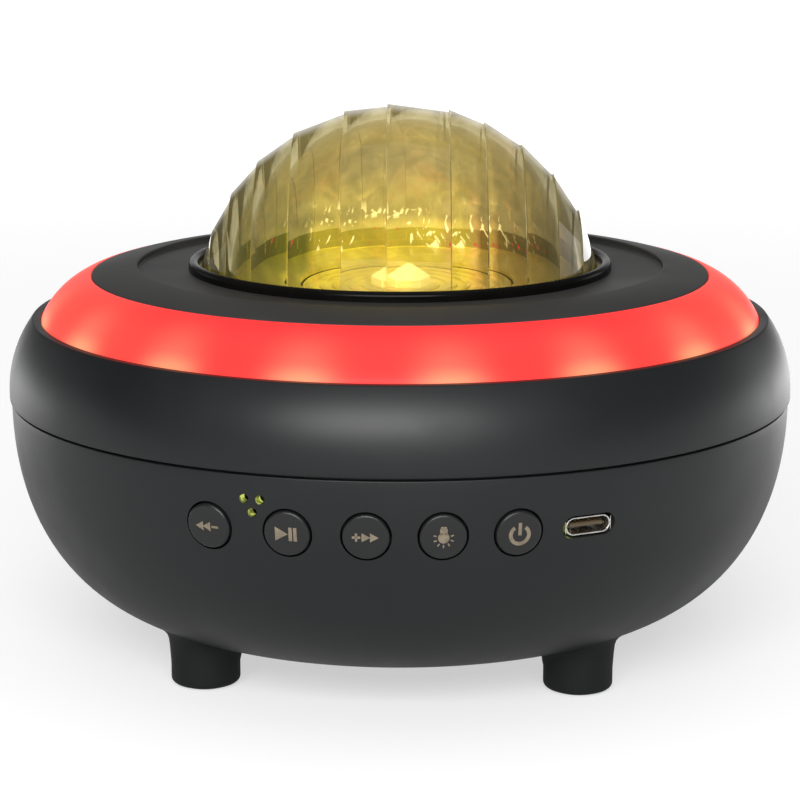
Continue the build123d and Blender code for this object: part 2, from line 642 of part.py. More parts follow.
def projector():
    hub_inner = HUB_RADIUS - HUB_WALL
    bearing_outer = BEARING_BORE + BEARING_WALL
    gear_bore = GEAR_RADIUS - GEAR_MODULE * GEAR_DEDENDUM - GEAR_RIM
    gear_z = ROTOR_Z - GEAR_WIDTH
    shaft_low = SHELF_Z - SHAFT_DEPTH
    board_radius = hub_inner - LED_BOARD_INSET
    board_top = FRAME_Z + LED_BOARD_THICKNESS

    frame = rod(FRAME_RADIUS, SHELF_Z, FRAME_Z) + washer(BEARING_BORE, bearing_outer, FRAME_Z, BEARING_Z)
    frame -= rod(SHAFT_RADIUS + MOVING_GAP, SHELF_Z, FRAME_Z, 0, GEAR_CENTRES)
    screws = []
    for azimuth in PLATE_BOSS_AZIMUTHS:
        x, y = spot(FRAME_SCREW_PITCH_RADIUS, azimuth)
        frame -= rod(SMALL_SCREW_RADIUS + FIT, SHELF_Z, FRAME_Z, x, y)
        screws.append(screw(SMALL_SCREW_RADIUS, FRAME_Z, FRAME_THICKNESS + SHELF_THICKNESS, x, y, False))

    slope = Polyline((COUNTERBORE_RADIUS - FIT, LEDGE_Z), (COUNTERBORE_RADIUS - FIT, FLANGE_Z),
                     (PLATE_HOLE_RADIUS - DISH_LAND, FLANGE_Z),
                     (DISH_HOLE_RADIUS, ROTOR_TOP_Z + DISH_THICKNESS),
                     (DISH_HOLE_RADIUS, ROTOR_TOP_Z), (PLATE_HOLE_RADIUS - DISH_LAND, LEDGE_Z), close=True)

    disc = washer(hub_inner, ROTOR_RADIUS, ROTOR_Z, ROTOR_TOP_Z) + rod(hub_inner, ROTOR_Z, ROTOR_TOP_Z)
    disc += washer(hub_inner, HUB_RADIUS, ROTOR_Z - HUB_LENGTH, ROTOR_Z)
    pitch = (ROTOR_RADIUS - LENS_RADIUS) / (RIPPLE_COUNT + 1)
    for i in range(1, RIPPLE_COUNT + 1):
        middle = LENS_RADIUS + i * pitch
        disc -= washer(middle - pitch / 4, middle + pitch / 4, ROTOR_TOP_Z - RIPPLE_DEPTH, ROTOR_TOP_Z)

    skirt = extrude(Pos(0, 0, ROTOR_TOP_Z) * RegularPolygon(LENS_RADIUS, 6), LENS_SKIRT)
    crown = loft([Pos(0, 0, ROTOR_TOP_Z + LENS_SKIRT) * RegularPolygon(LENS_RADIUS, 6),
                  Pos(0, 0, ROTOR_TOP_Z + LENS_HEIGHT) * RegularPolygon(LENS_TOP_RADIUS, 6)], ruled=True)

    leds = [block(LAMP_LED_SIZE, LAMP_LED_SIZE, board_top, board_top + LAMP_LED_HEIGHT,
                  i * LAMP_LED_PITCH / 2, j * LAMP_LED_PITCH / 2) for i in (-1, 1) for j in (-1, 1)]
    motor = rod(MOTOR_RADIUS, SHELF_Z - MOTOR_HEIGHT, SHELF_Z, 0, GEAR_CENTRES)
    motor -= rod(SHAFT_RADIUS + RUNNING_FIT, shaft_low, SHELF_Z, 0, GEAR_CENTRES)
    pinion = gear(PINION_TEETH, SHAFT_RADIUS, GEAR_WIDTH, -90 + 180 / PINION_TEETH)
    return {
        "projector_frame": frame,
        "frame_screws": group(screws),
        "lamp_board": rod(board_radius, FRAME_Z, board_top),
        "lamp_leds": group(leds),
        "reflector_dish": spun(*slope.edges()),
        "ripple_disc": disc,
        "disc_gear": Pos(0, 0, gear_z) * gear(GEAR_TEETH, gear_bore, GEAR_WIDTH, 90),
        "aurora_lens": skirt + crown,
        "drive_pinion": Pos(0, GEAR_CENTRES, gear_z) * pinion,
        "motor_shaft": rod(SHAFT_RADIUS, shaft_low + MOVING_GAP, ROTOR_Z, 0, GEAR_CENTRES),
        "drive_motor": motor,
    }


def feet():
    nodes = {}
    pads = []
    screws = []
    body = bowl()
    names = ("front_right", "rear_right", "rear_left", "front_left")
    for name, azimuth in zip(names, FOOT_AZIMUTHS):
        x, y = spot(FOOT_PITCH_RADIUS, azimuth)
        height = bowl_foot_height()
        leg = Pos(x, y, (FOOT_LIFT + height) / 2) * Cone(FOOT_TIP_RADIUS, FOOT_RADIUS, height - FOOT_LIFT)
        leg = fillet(leg.edges().group_by(Axis.Z)[0], FOOT_EDGE)
        leg -= body
        leg -= rod(SCREW_ACCESS_RADIUS, 0, height, x, y)
        leg -= rod(PAD_RADIUS, 0, PAD_THICKNESS, x, y)
        nodes[name + "_foot"] = leg
        pads.append(rod(PAD_RADIUS, 0, PAD_THICKNESS, x, y))
        grip = POST_SEAT_THICKNESS + SHELL_SCREW_GRIP
        screws.append(screw(SHELL_SCREW_RADIUS, POST_SEAT_Z, grip, x, y, True))
    nodes["foot_pads"] = group(pads)
    nodes["shell_screws"] = group(screws)
    return nodes


def bowl_foot_height():
    """Height at which the bowl's surface meets the outermost point of a foot."""
    across = max(FOOT_PITCH_RADIUS + FOOT_RADIUS - UNDERSIDE_RADIUS, 0.0) / BOWL_REACH
    return SEAM_HEIGHT - BOWL_DEPTH * (1 - across ** BOWL_FULLNESS) ** (1 / BOWL_FULLNESS)


def buttons():
    nodes = {}
    switches = []
    skin = bowl(-BUTTON_PROUD)
    past = BODY_RADIUS + WALL
    flange_back = FLANGE_FACE - BUTTON_FLANGE_THICKNESS
    head = outward(BUTTON_RADIUS, flange_back, past, BUTTON_Z) & skin
    head = fillet(head.edges().group_by(Axis.Y)[0], BUTTON_EDGE)
    cap = head + outward(BUTTON_RADIUS + BUTTON_FLANGE, flange_back, FLANGE_FACE, BUTTON_Z)
    cap += outward(STEM_RADIUS, STEM_END, flange_back, BUTTON_Z)
    plunger = slab(PLUNGER_WIDTH, PLUNGER_HEIGHT, SWITCH_FACE - PLUNGER_ROOT, STEM_END, BUTTON_Z)
    pocket_back = SWITCH_FACE - PLUNGER_ROOT - BUTTON_TRAVEL - MOVING_GAP
    switch = slab(SWITCH_WIDTH, PORT_HEIGHT, SWITCH_FACE - SWITCH_DEPTH, SWITCH_FACE, BUTTON_Z)
    switch -= slab(PLUNGER_WIDTH + FIT, PLUNGER_HEIGHT + FIT, pocket_back, SWITCH_FACE, BUTTON_Z)
    for name, azimuth in zip(BUTTON_NAMES, BUTTON_AZIMUTHS):
        nodes[name + "_button"] = swung(cap, azimuth)
        nodes[name + "_switch_plunger"] = swung(plunger, azimuth)
        switches.append(swung(switch, azimuth))
    nodes["switch_bodies"] = group(switches)
    return nodes


def board():
    sector = wedge(BOARD_HALF_ANGLE, BODY_RADIUS, BOARD_UNDER_Z, BOARD_TOP_Z)
    plate = washer(BOARD_RADIUS - BOARD_WIDTH, BOARD_RADIUS, BOARD_UNDER_Z, BOARD_TOP_Z) & sector
    tab = slab(PORT_WIDTH + 2 * BOARD_TAB_SIDE, BOARD_THICKNESS, BOARD_RADIUS - BOARD_TAB_REACH,
               BOARD_RADIUS + BOARD_TAB_REACH, (BOARD_UNDER_Z + BOARD_TOP_Z) / 2)
    plate += swung(tab, PORT_AZIMUTH)
    screws = []
    for azimuth in BOARD_POST_AZIMUTHS:
        x, y = spot(BOARD_POST_PITCH_RADIUS, azimuth)
        plate -= rod(SMALL_SCREW_RADIUS + FIT, BOARD_UNDER_Z, BOARD_TOP_Z, x, y)
        screws.append(screw(SMALL_SCREW_RADIUS, BOARD_TOP_Z, SMALL_SCREW_LENGTH, x, y, False))

    port_back = PORT_FACE - PORT_DEPTH
    can = stadium(PORT_WIDTH, PORT_HEIGHT, port_back, PORT_FACE, BUTTON_Z)
    room = stadium(PORT_WIDTH - 2 * PORT_WALL, PORT_HEIGHT - 2 * PORT_WALL, port_back + PORT_WALL, PORT_FACE,
                   BUTTON_Z)
    insert = stadium(PORT_WIDTH - 2 * PORT_WALL, PORT_HEIGHT - 2 * PORT_WALL, port_back + PORT_WALL,
                     port_back + PORT_WALL + PORT_BLOCK, BUTTON_Z)
    insert += slab(PORT_TONGUE_WIDTH, PORT_TONGUE_HEIGHT, port_back + PORT_WALL,
                   PORT_FACE - PORT_TONGUE_INSET, BUTTON_Z)

    guide_front = BOARD_RADIUS - FIT
    guide_top = BUTTON_Z + LIGHT_HOLE_RISE + GUIDE_RISE
    guide = slab(GUIDE_WIDTH, guide_top - BOARD_TOP_Z, guide_front - GUIDE_DEPTH, guide_front,
                 (guide_top + BOARD_TOP_Z) / 2)
    led = slab(STATUS_LED_SIZE, STATUS_LED_SIZE, guide_front - GUIDE_DEPTH - STATUS_LED_SIZE,
               guide_front - GUIDE_DEPTH, BOARD_TOP_Z + STATUS_LED_SIZE / 2)
    chips = []
    for (width, depth, height), azimuth in zip(CHIP_SIZES, CHIP_AZIMUTHS):
        near = BOARD_RADIUS - CHIP_INSET - depth / 2
        chips.append(swung(slab(width, height, near, near + depth, BOARD_TOP_Z + height / 2), azimuth))
    cans = []
    for azimuth in CAPACITOR_AZIMUTHS:
        x, y = spot(BOARD_RADIUS - CAPACITOR_INSET, azimuth)
        cans.append(rod(CAPACITOR_RADIUS, BOARD_TOP_Z, BOARD_TOP_Z + CAPACITOR_HEIGHT, x, y))
    return {
        "main_board": plate,
        "board_screws": group(screws),
        "port_shell": swung(can - room, PORT_AZIMUTH),
        "port_tongue": swung(insert, PORT_AZIMUTH),
        "status_light_guide": swung(guide, GUIDE_AZIMUTH),
        "status_led": swung(led, GUIDE_AZIMUTH),
        "board_chips": group(chips),
        "board_capacitors": group(cans),
    }


def speaker():
    flange_top = SPEAKER_Z + SPEAKER_FLANGE
    plate_z = SPEAKER_BACK_Z + BASKET_BACK
    coil_outer = COIL_RADIUS + COIL_WALL
    land = SPEAKER_MOUTH_RADIUS + SURROUND_LAND
    land_z = SPEAKER_Z + SURROUND_LAND_HEIGHT
    roll_outer = SPEAKER_MOUTH_RADIUS - MOVING_GAP
    roll_inner = roll_outer - 2 * SURROUND_ROLL
    cone_z = land_z
    apex_z = cone_z + CONE_DEPTH
    ledge_z = SPEAKER_BACK_Z - SPIDER_LEDGE_DEPTH

    frame = washer(SPEAKER_MOUTH_RADIUS, SPEAKER_RADIUS, SPEAKER_Z, flange_top)
    frame -= washer(SPEAKER_MOUTH_RADIUS, land, SPEAKER_Z, land_z)
    frame += turned((land, flange_top), (land + BASKET_WALL, flange_top),
                    (BASKET_NECK_RADIUS + BASKET_WALL, SPEAKER_BACK_Z), (BASKET_NECK_RADIUS, SPEAKER_BACK_Z))
    frame += washer(coil_outer + MOVING_GAP, BASKET_NECK_RADIUS + BASKET_WALL, SPEAKER_BACK_Z, plate_z)
    window_low = flange_top + SPEAKER_FLANGE
    window_high = ledge_z - SPIDER_LEDGE_THICKNESS
    window = slab(BASKET_WINDOW_WIDTH, window_high - window_low, BASKET_NECK_RADIUS, SPEAKER_RADIUS,
                  (window_low + window_high) / 2)
    for azimuth in spread(BASKET_WINDOWS, 0):
        frame -= swung(window, azimuth)
    run = (ledge_z - flange_top) / BASKET_HEIGHT
    ledge_outer = land + (BASKET_NECK_RADIUS - land) * run + BASKET_WALL / 2
    ledge_inner = ledge_outer - BASKET_WALL / 2 - SPIDER_LEDGE_WIDTH
    frame += washer(ledge_inner, ledge_outer, ledge_z, ledge_z + SPIDER_LEDGE_THICKNESS)
    screws = []
    for azimuth in spread(SPEAKER_SCREW_COUNT, 45):
        x, y = spot(SPEAKER_SCREW_PITCH_RADIUS, azimuth)
        frame -= rod(SMALL_SCREW_RADIUS + FIT, SPEAKER_Z, flange_top, x, y)
        screws.append(screw(SMALL_SCREW_RADIUS, flange_top, SMALL_SCREW_LENGTH, x, y, False))

    cone = turned((coil_outer, apex_z), (roll_inner, cone_z), (roll_inner, cone_z + CONE_THICKNESS),
                  (coil_outer, apex_z + CONE_THICKNESS))
    cap_radius = coil_outer + CAP_OVERLAP
    cap_z = apex_z - CONE_DEPTH * CAP_OVERLAP / (roll_inner - coil_outer) - CAP_THICKNESS
    cap_angle = 2 * math.atan2(CAP_RISE, cap_radius)
    cap_curve = cap_radius / math.sin(cap_angle)
    low_arc = JernArc((0, cap_z - CAP_RISE), (1, 0), cap_curve, math.degrees(cap_angle))
    high_arc = Pos(0, CAP_THICKNESS, 0) * low_arc
    cap = spun(low_arc, Line(low_arc @ 1, high_arc @ 1), high_arc, Line(high_arc @ 0, low_arc @ 0))

    middle = (roll_inner + roll_outer) / 2
    thin = SURROUND_ROLL - SURROUND_RUBBER
    roll_top = ThreePointArc((roll_inner, land_z), (middle, land_z + SURROUND_ROLL), (roll_outer, land_z))
    roll_under = ThreePointArc((roll_outer - SURROUND_RUBBER, land_z), (middle, land_z + thin),
                               (roll_inner + SURROUND_RUBBER, land_z))
    edge = Polyline(roll_top @ 1, (land - FIT, land_z), (land - FIT, SPEAKER_Z),
                    (roll_outer - SURROUND_RUBBER, SPEAKER_Z), roll_under @ 0)
    surround = spun(roll_top, *edge.edges(), roll_under, Line(roll_under @ 1, roll_top @ 0))

    waves = 2 * SPIDER_WAVES
    step = (ledge_inner - coil_outer) / waves
    fold = [(coil_outer + i * step, ledge_z - SPIDER_WAVE * (1 - (-1) ** i) / 2) for i in range(waves + 1)]
    fold.append((ledge_inner + SPIDER_LEDGE_WIDTH / 2, ledge_z))
    spider = turned(*fold, *[(radius, z - SPIDER_THICKNESS) for radius, z in reversed(fold)])

    pole = rod(COIL_RADIUS - MOVING_GAP, SPEAKER_BACK_Z, YOKE_Z)
    yoke = pole + rod(YOKE_RADIUS, YOKE_Z, YOKE_Z + YOKE_THICKNESS)
    gasket_inner = SPEAKER_MOUTH_RADIUS
    return {
        "speaker_gasket": washer(gasket_inner, gasket_inner + GASKET_WIDTH, FLOOR_Z, SPEAKER_Z),
        "speaker_frame": frame,
        "speaker_screws": group(screws),
        "speaker_front_plate": washer(coil_outer + MOVING_GAP, FRONT_PLATE_RADIUS, plate_z, MAGNET_Z),
        "speaker_magnet": washer(MAGNET_HOLE_RADIUS, MAGNET_RADIUS, MAGNET_Z, YOKE_Z),
        "speaker_yoke": yoke,
        "voice_coil": washer(COIL_RADIUS, coil_outer, apex_z, apex_z + COIL_LENGTH),
        "speaker_cone": cone,
        "dust_cap": cap,
        "speaker_surround": surround,
        "speaker_spider": spider,
    }


def battery():
    half = CELL_LENGTH / 2
    lay = Pos(0, CELL_SET_BACK, CELL_Z) * Rot(0, 90, 0)
    cell = lay * Cylinder(CELL_RADIUS, CELL_LENGTH)
    cell += lay * Pos(0, 0, half + CELL_NUB_LENGTH / 2) * Cylinder(CELL_NUB_RADIUS, CELL_NUB_LENGTH)
    tab_z = CRADLE_Z + CRADLE_FLOOR
    cradle = block(CRADLE_LENGTH, CRADLE_DEPTH, CRADLE_Z, CELL_Z, 0, CELL_SET_BACK)
    cradle += block(CRADLE_LENGTH + 2 * CRADLE_TAB, CRADLE_TAB_WIDTH, CRADLE_Z, tab_z, 0, CELL_SET_BACK)
    cradle -= lay * Cylinder(CELL_RADIUS + FIT, CRADLE_ROOM)
    screws = []
    for side in (-1, 1):
        x = side * CRADLE_TAB_X
        cradle -= rod(SMALL_SCREW_RADIUS + FIT, CRADLE_Z, tab_z, x, CELL_SET_BACK)
        screws.append(screw(SMALL_SCREW_RADIUS, tab_z, SMALL_SCREW_LENGTH, x, CELL_SET_BACK, False))
    return {"battery_cell": cell, "battery_cradle": cradle, "cradle_screws": group(screws)}


def lead(*points):
    """Round lead along straight runs with bent corners, tighter where a run is short."""
    shortest = min(math.dist(a, b) for a, b in zip(points, points[1:]))
    path = FilletPolyline(*points, radius=min(LEAD_BEND, shortest * LEAD_BEND_SHARE))
    start = Vector(*points[0])
    section = Plane(start, z_dir=Vector(*points[1]) - start) * Circle(LEAD_RADIUS)
    return sweep(section, path=path)


def internal_leads():
    leads = []
    speaker_z = SPEAKER_BACK_Z + BASKET_BACK / 2
    speaker_y = -(BASKET_NECK_RADIUS + BASKET_WALL)
    board_y = -(BOARD_RADIUS - BOARD_WIDTH + LEAD_INSET)
    cell_y = CELL_SET_BACK - CRADLE_DEPTH / 2
    rise_y = cell_y - LEAD_STANDOFF
    cell_z = CELL_Z - LEAD_PITCH
    over_z = max(BOARD_TOP_Z + LEAD_RISE, YOKE_Z + YOKE_THICKNESS + LEAD_CLEARANCE)
    for side in (-1, 1):
        x = side * LEAD_PITCH / 2
        leads.append(lead((x, speaker_y, speaker_z), (x, board_y, speaker_z), (x, board_y, BOARD_UNDER_Z)))
        x = side * LEAD_PITCH
        leads.append(lead((x, cell_y, cell_z), (x, rise_y, cell_z), (x, rise_y, over_z),
                          (x, board_y, over_z), (x, board_y, BOARD_TOP_Z)))
    return group(leads)


def plate_screws():
    screws = []
    for azimuth in PLATE_BOSS_AZIMUTHS:
        x, y = spot(PLATE_BOSS_PITCH_RADIUS, azimuth)
        screws.append(screw(SMALL_SCREW_RADIUS, SHELF_UNDER_Z, SMALL_SCREW_LENGTH, x, y, True))
    return group(screws)


def assembly():
    nodes = {
        "base_shell": base_shell(),
        "upper_shell": upper_shell(),
        "light_ring": light_ring(),
        "top_plate": top_plate(),
        "plate_screws": plate_screws(),
        "dome_ring": dome_ring(),
        "crystal_dome": crystal_dome(),
        "internal_leads": internal_leads(),
    }
    for made in (ring_lights(), projector(), feet(), buttons(), board(), speaker(), battery()):
        nodes.update(made)
    return nodes


os.makedirs("parts", exist_ok=True)
for node_name, shape in assembly().items():
    export_step(shape, f"parts/{node_name}.step")
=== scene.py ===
# %% [markdown]
# A saucer-shaped speaker that is also a dome light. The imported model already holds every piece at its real
# size and place, so this lesson only dresses it: the shells are turned again as clean meshes with softened
# edges, the dome is cut as glass, and each surface gets a finish built from nodes. The frame comes first,
# because every size below is read from it or repeated from the drawing in millimetres.

# %% Load the frame
import math

import bmesh
import bpy
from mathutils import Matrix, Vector


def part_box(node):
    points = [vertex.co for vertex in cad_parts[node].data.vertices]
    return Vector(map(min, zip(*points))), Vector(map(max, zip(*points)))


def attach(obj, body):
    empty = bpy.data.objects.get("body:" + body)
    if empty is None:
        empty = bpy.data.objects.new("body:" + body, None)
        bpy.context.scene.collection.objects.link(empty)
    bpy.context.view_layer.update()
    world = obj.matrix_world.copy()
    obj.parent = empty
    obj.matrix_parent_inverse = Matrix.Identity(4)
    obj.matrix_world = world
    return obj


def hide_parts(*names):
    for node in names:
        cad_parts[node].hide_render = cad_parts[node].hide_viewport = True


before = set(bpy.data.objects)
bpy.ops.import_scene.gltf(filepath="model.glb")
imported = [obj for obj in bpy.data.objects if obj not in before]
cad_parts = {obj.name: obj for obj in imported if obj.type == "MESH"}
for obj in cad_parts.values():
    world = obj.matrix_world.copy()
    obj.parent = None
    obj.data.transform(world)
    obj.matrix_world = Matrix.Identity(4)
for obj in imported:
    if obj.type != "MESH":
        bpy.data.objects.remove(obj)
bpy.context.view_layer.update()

MM = 0.001


def low(node):
    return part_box(node)[0]


def high(node):
    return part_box(node)[1]


# %% [markdown]
# Most of this object is turned, as on a lathe, so the first helpers draw an outline with the extrude tool,
# round its corners with a vertex bevel and spin it. Modelling the outline as a mesh keeps the corners easy to
# round, which a stack of cylinders would not. The other helpers select by place, because there is no mouse
# here, and apply modifiers, so that a finished piece is a plain mesh at the origin.

# %% Selecting and settling
WELD = 0.002 * MM
FACING = 0.9
FRONT = Vector((0, -1, 0))
UP = Vector((0, 0, 1))


def only(piece):
    """Makes one piece the only selected and the active one."""
    bpy.ops.object.select_all(action="DESELECT")
    piece.select_set(True)
    bpy.context.view_layer.objects.active = piece


def settle():
    """Applies the place, turn and scale of the selected piece, so that it stands at the origin."""
    bpy.ops.object.transform_apply(location=True, rotation=True, scale=True)
    return bpy.context.object


def primitive(maker, **settings):
    """One of Blender's own forms, settled."""
    bpy.ops.object.select_all(action="DESELECT")
    maker(**settings)
    return settle()


def edit_mode():
    bpy.ops.object.mode_set(mode="EDIT")


def object_mode():
    bpy.ops.object.mode_set(mode="OBJECT")


def pick_all():
    bpy.ops.mesh.select_all(action="SELECT")


def push(way):
    """Extrudes the selection and moves it."""
    bpy.ops.mesh.extrude_region_move(TRANSFORM_OT_translate={"value": way})


def pick(kind, test):
    """Selects the vertices, edges or faces of the piece in edit mode that pass a test."""
    bpy.ops.mesh.select_mode(type=kind)
    bpy.ops.mesh.select_all(action="DESELECT")
    data = bpy.context.object.data
    shape = bmesh.from_edit_mesh(data)
    items = {"VERT": shape.verts, "EDGE": shape.edges, "FACE": shape.faces}[kind]
    for item in items:
        if test(item):
            item.select_set(True)
    shape.select_flush_mode()
    bmesh.update_edit_mesh(data)


def pick_facing(way):
    """Selects the faces whose normals lie along a direction."""
    pick("FACE", lambda f: f.normal.dot(way) > FACING)


# %% Modifiers, joins and copies
def apply_modifier(piece, kind, **settings):
    only(piece)
    bpy.ops.object.modifier_add(type=kind)
    modifier = piece.modifiers[-1]
    for key, value in settings.items():
        setattr(modifier, key, value)
    bpy.ops.object.modifier_apply(modifier=modifier.name)


def carve(piece, tool, operation="DIFFERENCE"):
    """Cuts or joins with a second mesh, whose own finishes stay on the faces that it leaves."""
    apply_modifier(piece, "BOOLEAN", object=tool, operation=operation, solver="EXACT",
                   material_mode="TRANSFER")
    bpy.data.objects.remove(tool)


def joined(pieces):
    """Several meshes as one."""
    bpy.ops.object.select_all(action="DESELECT")
    for piece in pieces:
        piece.select_set(True)
    bpy.context.view_layer.objects.active = pieces[0]
    bpy.ops.object.join()
    return bpy.context.object


def turned_copy(piece, name, azimuth):
    """A copy with its own mesh, swung about the axis of the body."""
    copy = piece.copy()
    copy.data = piece.data.copy()
    copy.name = name
    bpy.context.scene.collection.objects.link(copy)
    copy.rotation_euler.z = math.radians(azimuth)
    only(copy)
    settle()
    return copy


# %% Drawing an outline and spinning it
SPIN_STEPS = 192


def start_outline(name):
    """One vertex at the origin, in edit mode."""
    piece = primitive(bpy.ops.mesh.primitive_plane_add, size=MM)
    piece.name = name
    edit_mode()
    bpy.ops.mesh.select_mode(type="VERT")
    pick_all()
    bpy.ops.mesh.merge(type="CENTER")
    return piece


def draw(points):
    """Moves the one vertex to the first point and extrudes it through the others."""
    bpy.ops.transform.translate(value=points[0])
    for here, there in zip(points, points[1:]):
        push(there - here)
    pick_all()


def round_corner(place, size, segments=4):
    pick("VERT", lambda v: (v.co - place).length < WELD)
    bpy.ops.mesh.bevel(offset=size, segments=segments, affect="VERTICES")


def close_spin():
    """Welds the seam and the poles of a spun outline and turns its faces outwards."""
    pick_all()
    bpy.ops.mesh.remove_doubles(threshold=WELD)
    bpy.ops.mesh.normals_make_consistent(inside=False)
    object_mode()


def lathe(name, outline, rounded=()):
    """Spins a closed (radius, height) outline about Z. rounded lists (corner number, size)."""
    piece = start_outline(name)
    corners = [Vector((radius, 0, z)) for radius, z in outline]
    draw(corners)
    bpy.ops.mesh.edge_face_add()
    for number, size in rounded:
        round_corner(corners[number], size)
    pick_all()
    bpy.ops.mesh.delete(type="ONLY_FACE")
    pick("EDGE", lambda e: all(abs(v.co.x) < WELD for v in e.verts))
    bpy.ops.mesh.delete(type="EDGE")
    bpy.ops.mesh.select_mode(type="VERT")
    pick_all()
    bpy.ops.mesh.spin(steps=SPIN_STEPS, angle=math.tau, center=(0, 0, 0), axis=(0, 0, 1))
    close_spin()
    return piece


def drill(radius, near, far, azimuth, z, vertices=48):
    """A cylinder lying outwards from the axis, for a hole or a pin."""
    angle = math.radians(azimuth)
    middle = (near + far) / 2
    return primitive(bpy.ops.mesh.primitive_cylinder_add, vertices=vertices, radius=radius, depth=far - near,
                     location=(middle * math.sin(angle), -middle * math.cos(angle), z),
                     rotation=(math.pi / 2, 0, angle))


# %% Handing a piece over
def hand_over(piece, finish, body, slot, *nodes, angle=28):
    """Smooths a finished piece, gives it its finish and seats it in the frame."""
    only(piece)
    settle()
    bpy.ops.object.shade_smooth_by_angle(angle=math.radians(angle))
    if finish is not None:
        piece.data.materials.clear()
        piece.data.materials.append(finish)
    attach(piece, body)
    if nodes:
        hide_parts(*nodes)
    faces = sum(len(p.vertices) - 2 for p in piece.data.polygons)
    print(piece.name, "on", body, "with", faces, "triangles")


# %% [markdown]
# Finishes come before the pieces, so that each piece can be handed over complete. Two effects are shared by
# nearly every moulded surface: a fine grain with a slow mottle under it, and a few specks of dust. They are
# node groups, built once and placed in each finish with values of its own. Object coordinates carry them,
# because all pieces sit at the origin and the pattern then runs on from one shell to the next.

# %% Node helpers
def add(tree, kind, inputs=None, **settings):
    """A new node, its properties set and its inputs given a value or a link."""
    node = tree.nodes.new(kind)
    for key, value in settings.items():
        setattr(node, key, value)
    for key, value in (inputs or {}).items():
        if isinstance(value, bpy.types.NodeSocket):
            tree.links.new(value, node.inputs[key])
        else:
            node.inputs[key].default_value = value
    return node


def reckon(tree, operation, first, second=0.0, clamp=False):
    """The output of one math node."""
    node = add(tree, "ShaderNodeMath", {0: first, 1: second}, operation=operation, use_clamp=clamp)
    return node.outputs[0]


def times(tree, first, second):
    return reckon(tree, "MULTIPLY", first, second)


def remap(tree, value, start, stop, to_start, to_stop):
    """A value moved from one range to another, smoothly and within its ends."""
    node = add(tree, "ShaderNodeMapRange", {
        "Value": value, "From Min": start, "From Max": stop, "To Min": to_start, "To Max": to_stop,
    }, interpolation_type="SMOOTHSTEP")
    return node.outputs["Result"]


def blend(tree, factor, first, second):
    """Two colours mixed."""
    node = add(tree, "ShaderNodeMix", {"Factor": factor}, data_type="RGBA")
    for number, value in ((6, first), (7, second)):
        if isinstance(value, bpy.types.NodeSocket):
            tree.links.new(value, node.inputs[number])
        else:
            node.inputs[number].default_value = (*value, 1.0)
    return node.outputs[2]


def place(tree):
    """The Object coordinate of a point."""
    return add(tree, "ShaderNodeTexCoord").outputs["Object"]


def axes(tree):
    """The X, Y and Z of a point, in metres."""
    return add(tree, "ShaderNodeSeparateXYZ", {0: place(tree)}).outputs


def noise(tree, where, scale, detail, distortion=0.0):
    """The outputs of a noise at a place."""
    return add(tree, "ShaderNodeTexNoise", {"Vector": where, "Scale": scale, "Detail": detail,
                                            "Distortion": distortion}).outputs


def channel(tree, colour, number):
    """The red (0), green (1) or blue (2) of a colour."""
    return add(tree, "ShaderNodeSeparateColor", {0: colour}).outputs[number]


# %% Finish and group helpers
def new_finish(name, colour=(0.5, 0.5, 0.5), **sockets):
    """A material with a Principled shader whose plain values are set on its own sockets."""
    finish = bpy.data.materials.new(name)
    finish.use_nodes = True
    shader = finish.node_tree.nodes["Principled BSDF"]
    shader.inputs["Base Color"].default_value = (*colour, 1.0)
    for key, value in sockets.items():
        shader.inputs[key.replace("_", " ")].default_value = value
    return finish, finish.node_tree, shader


def feed(tree, shader, **sockets):
    """Links outputs to a shader's inputs."""
    for key, output in sockets.items():
        tree.links.new(output, shader.inputs[key.replace("_", " ")])


def new_group(name, inputs, outputs):
    """A shader node group with named float inputs and outputs."""
    tree = bpy.data.node_groups.new(name, "ShaderNodeTree")
    for label, value in inputs:
        socket = tree.interface.new_socket(label, in_out="INPUT", socket_type="NodeSocketFloat")
        socket.default_value = value
    for label in outputs:
        tree.interface.new_socket(label, in_out="OUTPUT", socket_type="NodeSocketFloat")
    return tree, tree.nodes.new("NodeGroupInput").outputs, tree.nodes.new("NodeGroupOutput")


def grouped(tree, group, **inputs):
    """Places a group in a finish."""
    node = tree.nodes.new("ShaderNodeGroup")
    node.node_tree = group
    for key, value in inputs.items():
        node.inputs[key].default_value = value
    return node.outputs


def bump(tree, height, strength, depth):
    node = add(tree, "ShaderNodeBump", {"Height": height, "Strength": strength, "Distance": depth})
    return node.outputs["Normal"]


# %% Grain and mottle of moulded plastic
grain_group, given, out = new_group("moulded_grain", [("Fineness", 2600.0), ("Mottle", 35.0)],
                                    ["Grain", "Mottle"])
where = place(grain_group)
fine = noise(grain_group, where, given["Fineness"], 2.0)["Fac"]
broad = noise(grain_group, where, given["Mottle"], 4.0)["Fac"]
grain_group.links.new(fine, out.inputs["Grain"])
grain_group.links.new(remap(grain_group, broad, 0.3, 0.7, 0.0, 1.0), out.inputs["Mottle"])
print("group", grain_group.name)

# %% Specks of dust
dust_group, given, out = new_group("dust_specks", [("Cells", 130.0), ("Size", 0.012), ("Share", 0.8)],
                                   ["Specks"])
cells = add(dust_group, "ShaderNodeTexVoronoi", {"Vector": place(dust_group), "Scale": given["Cells"]})
shade = channel(dust_group, cells.outputs["Color"], 0)
dot = reckon(dust_group, "LESS_THAN", cells.outputs["Distance"], given["Size"])
kept = reckon(dust_group, "GREATER_THAN", shade, given["Share"])
dust_group.links.new(times(dust_group, dot, kept), out.inputs["Specks"])
print("group", dust_group.name)


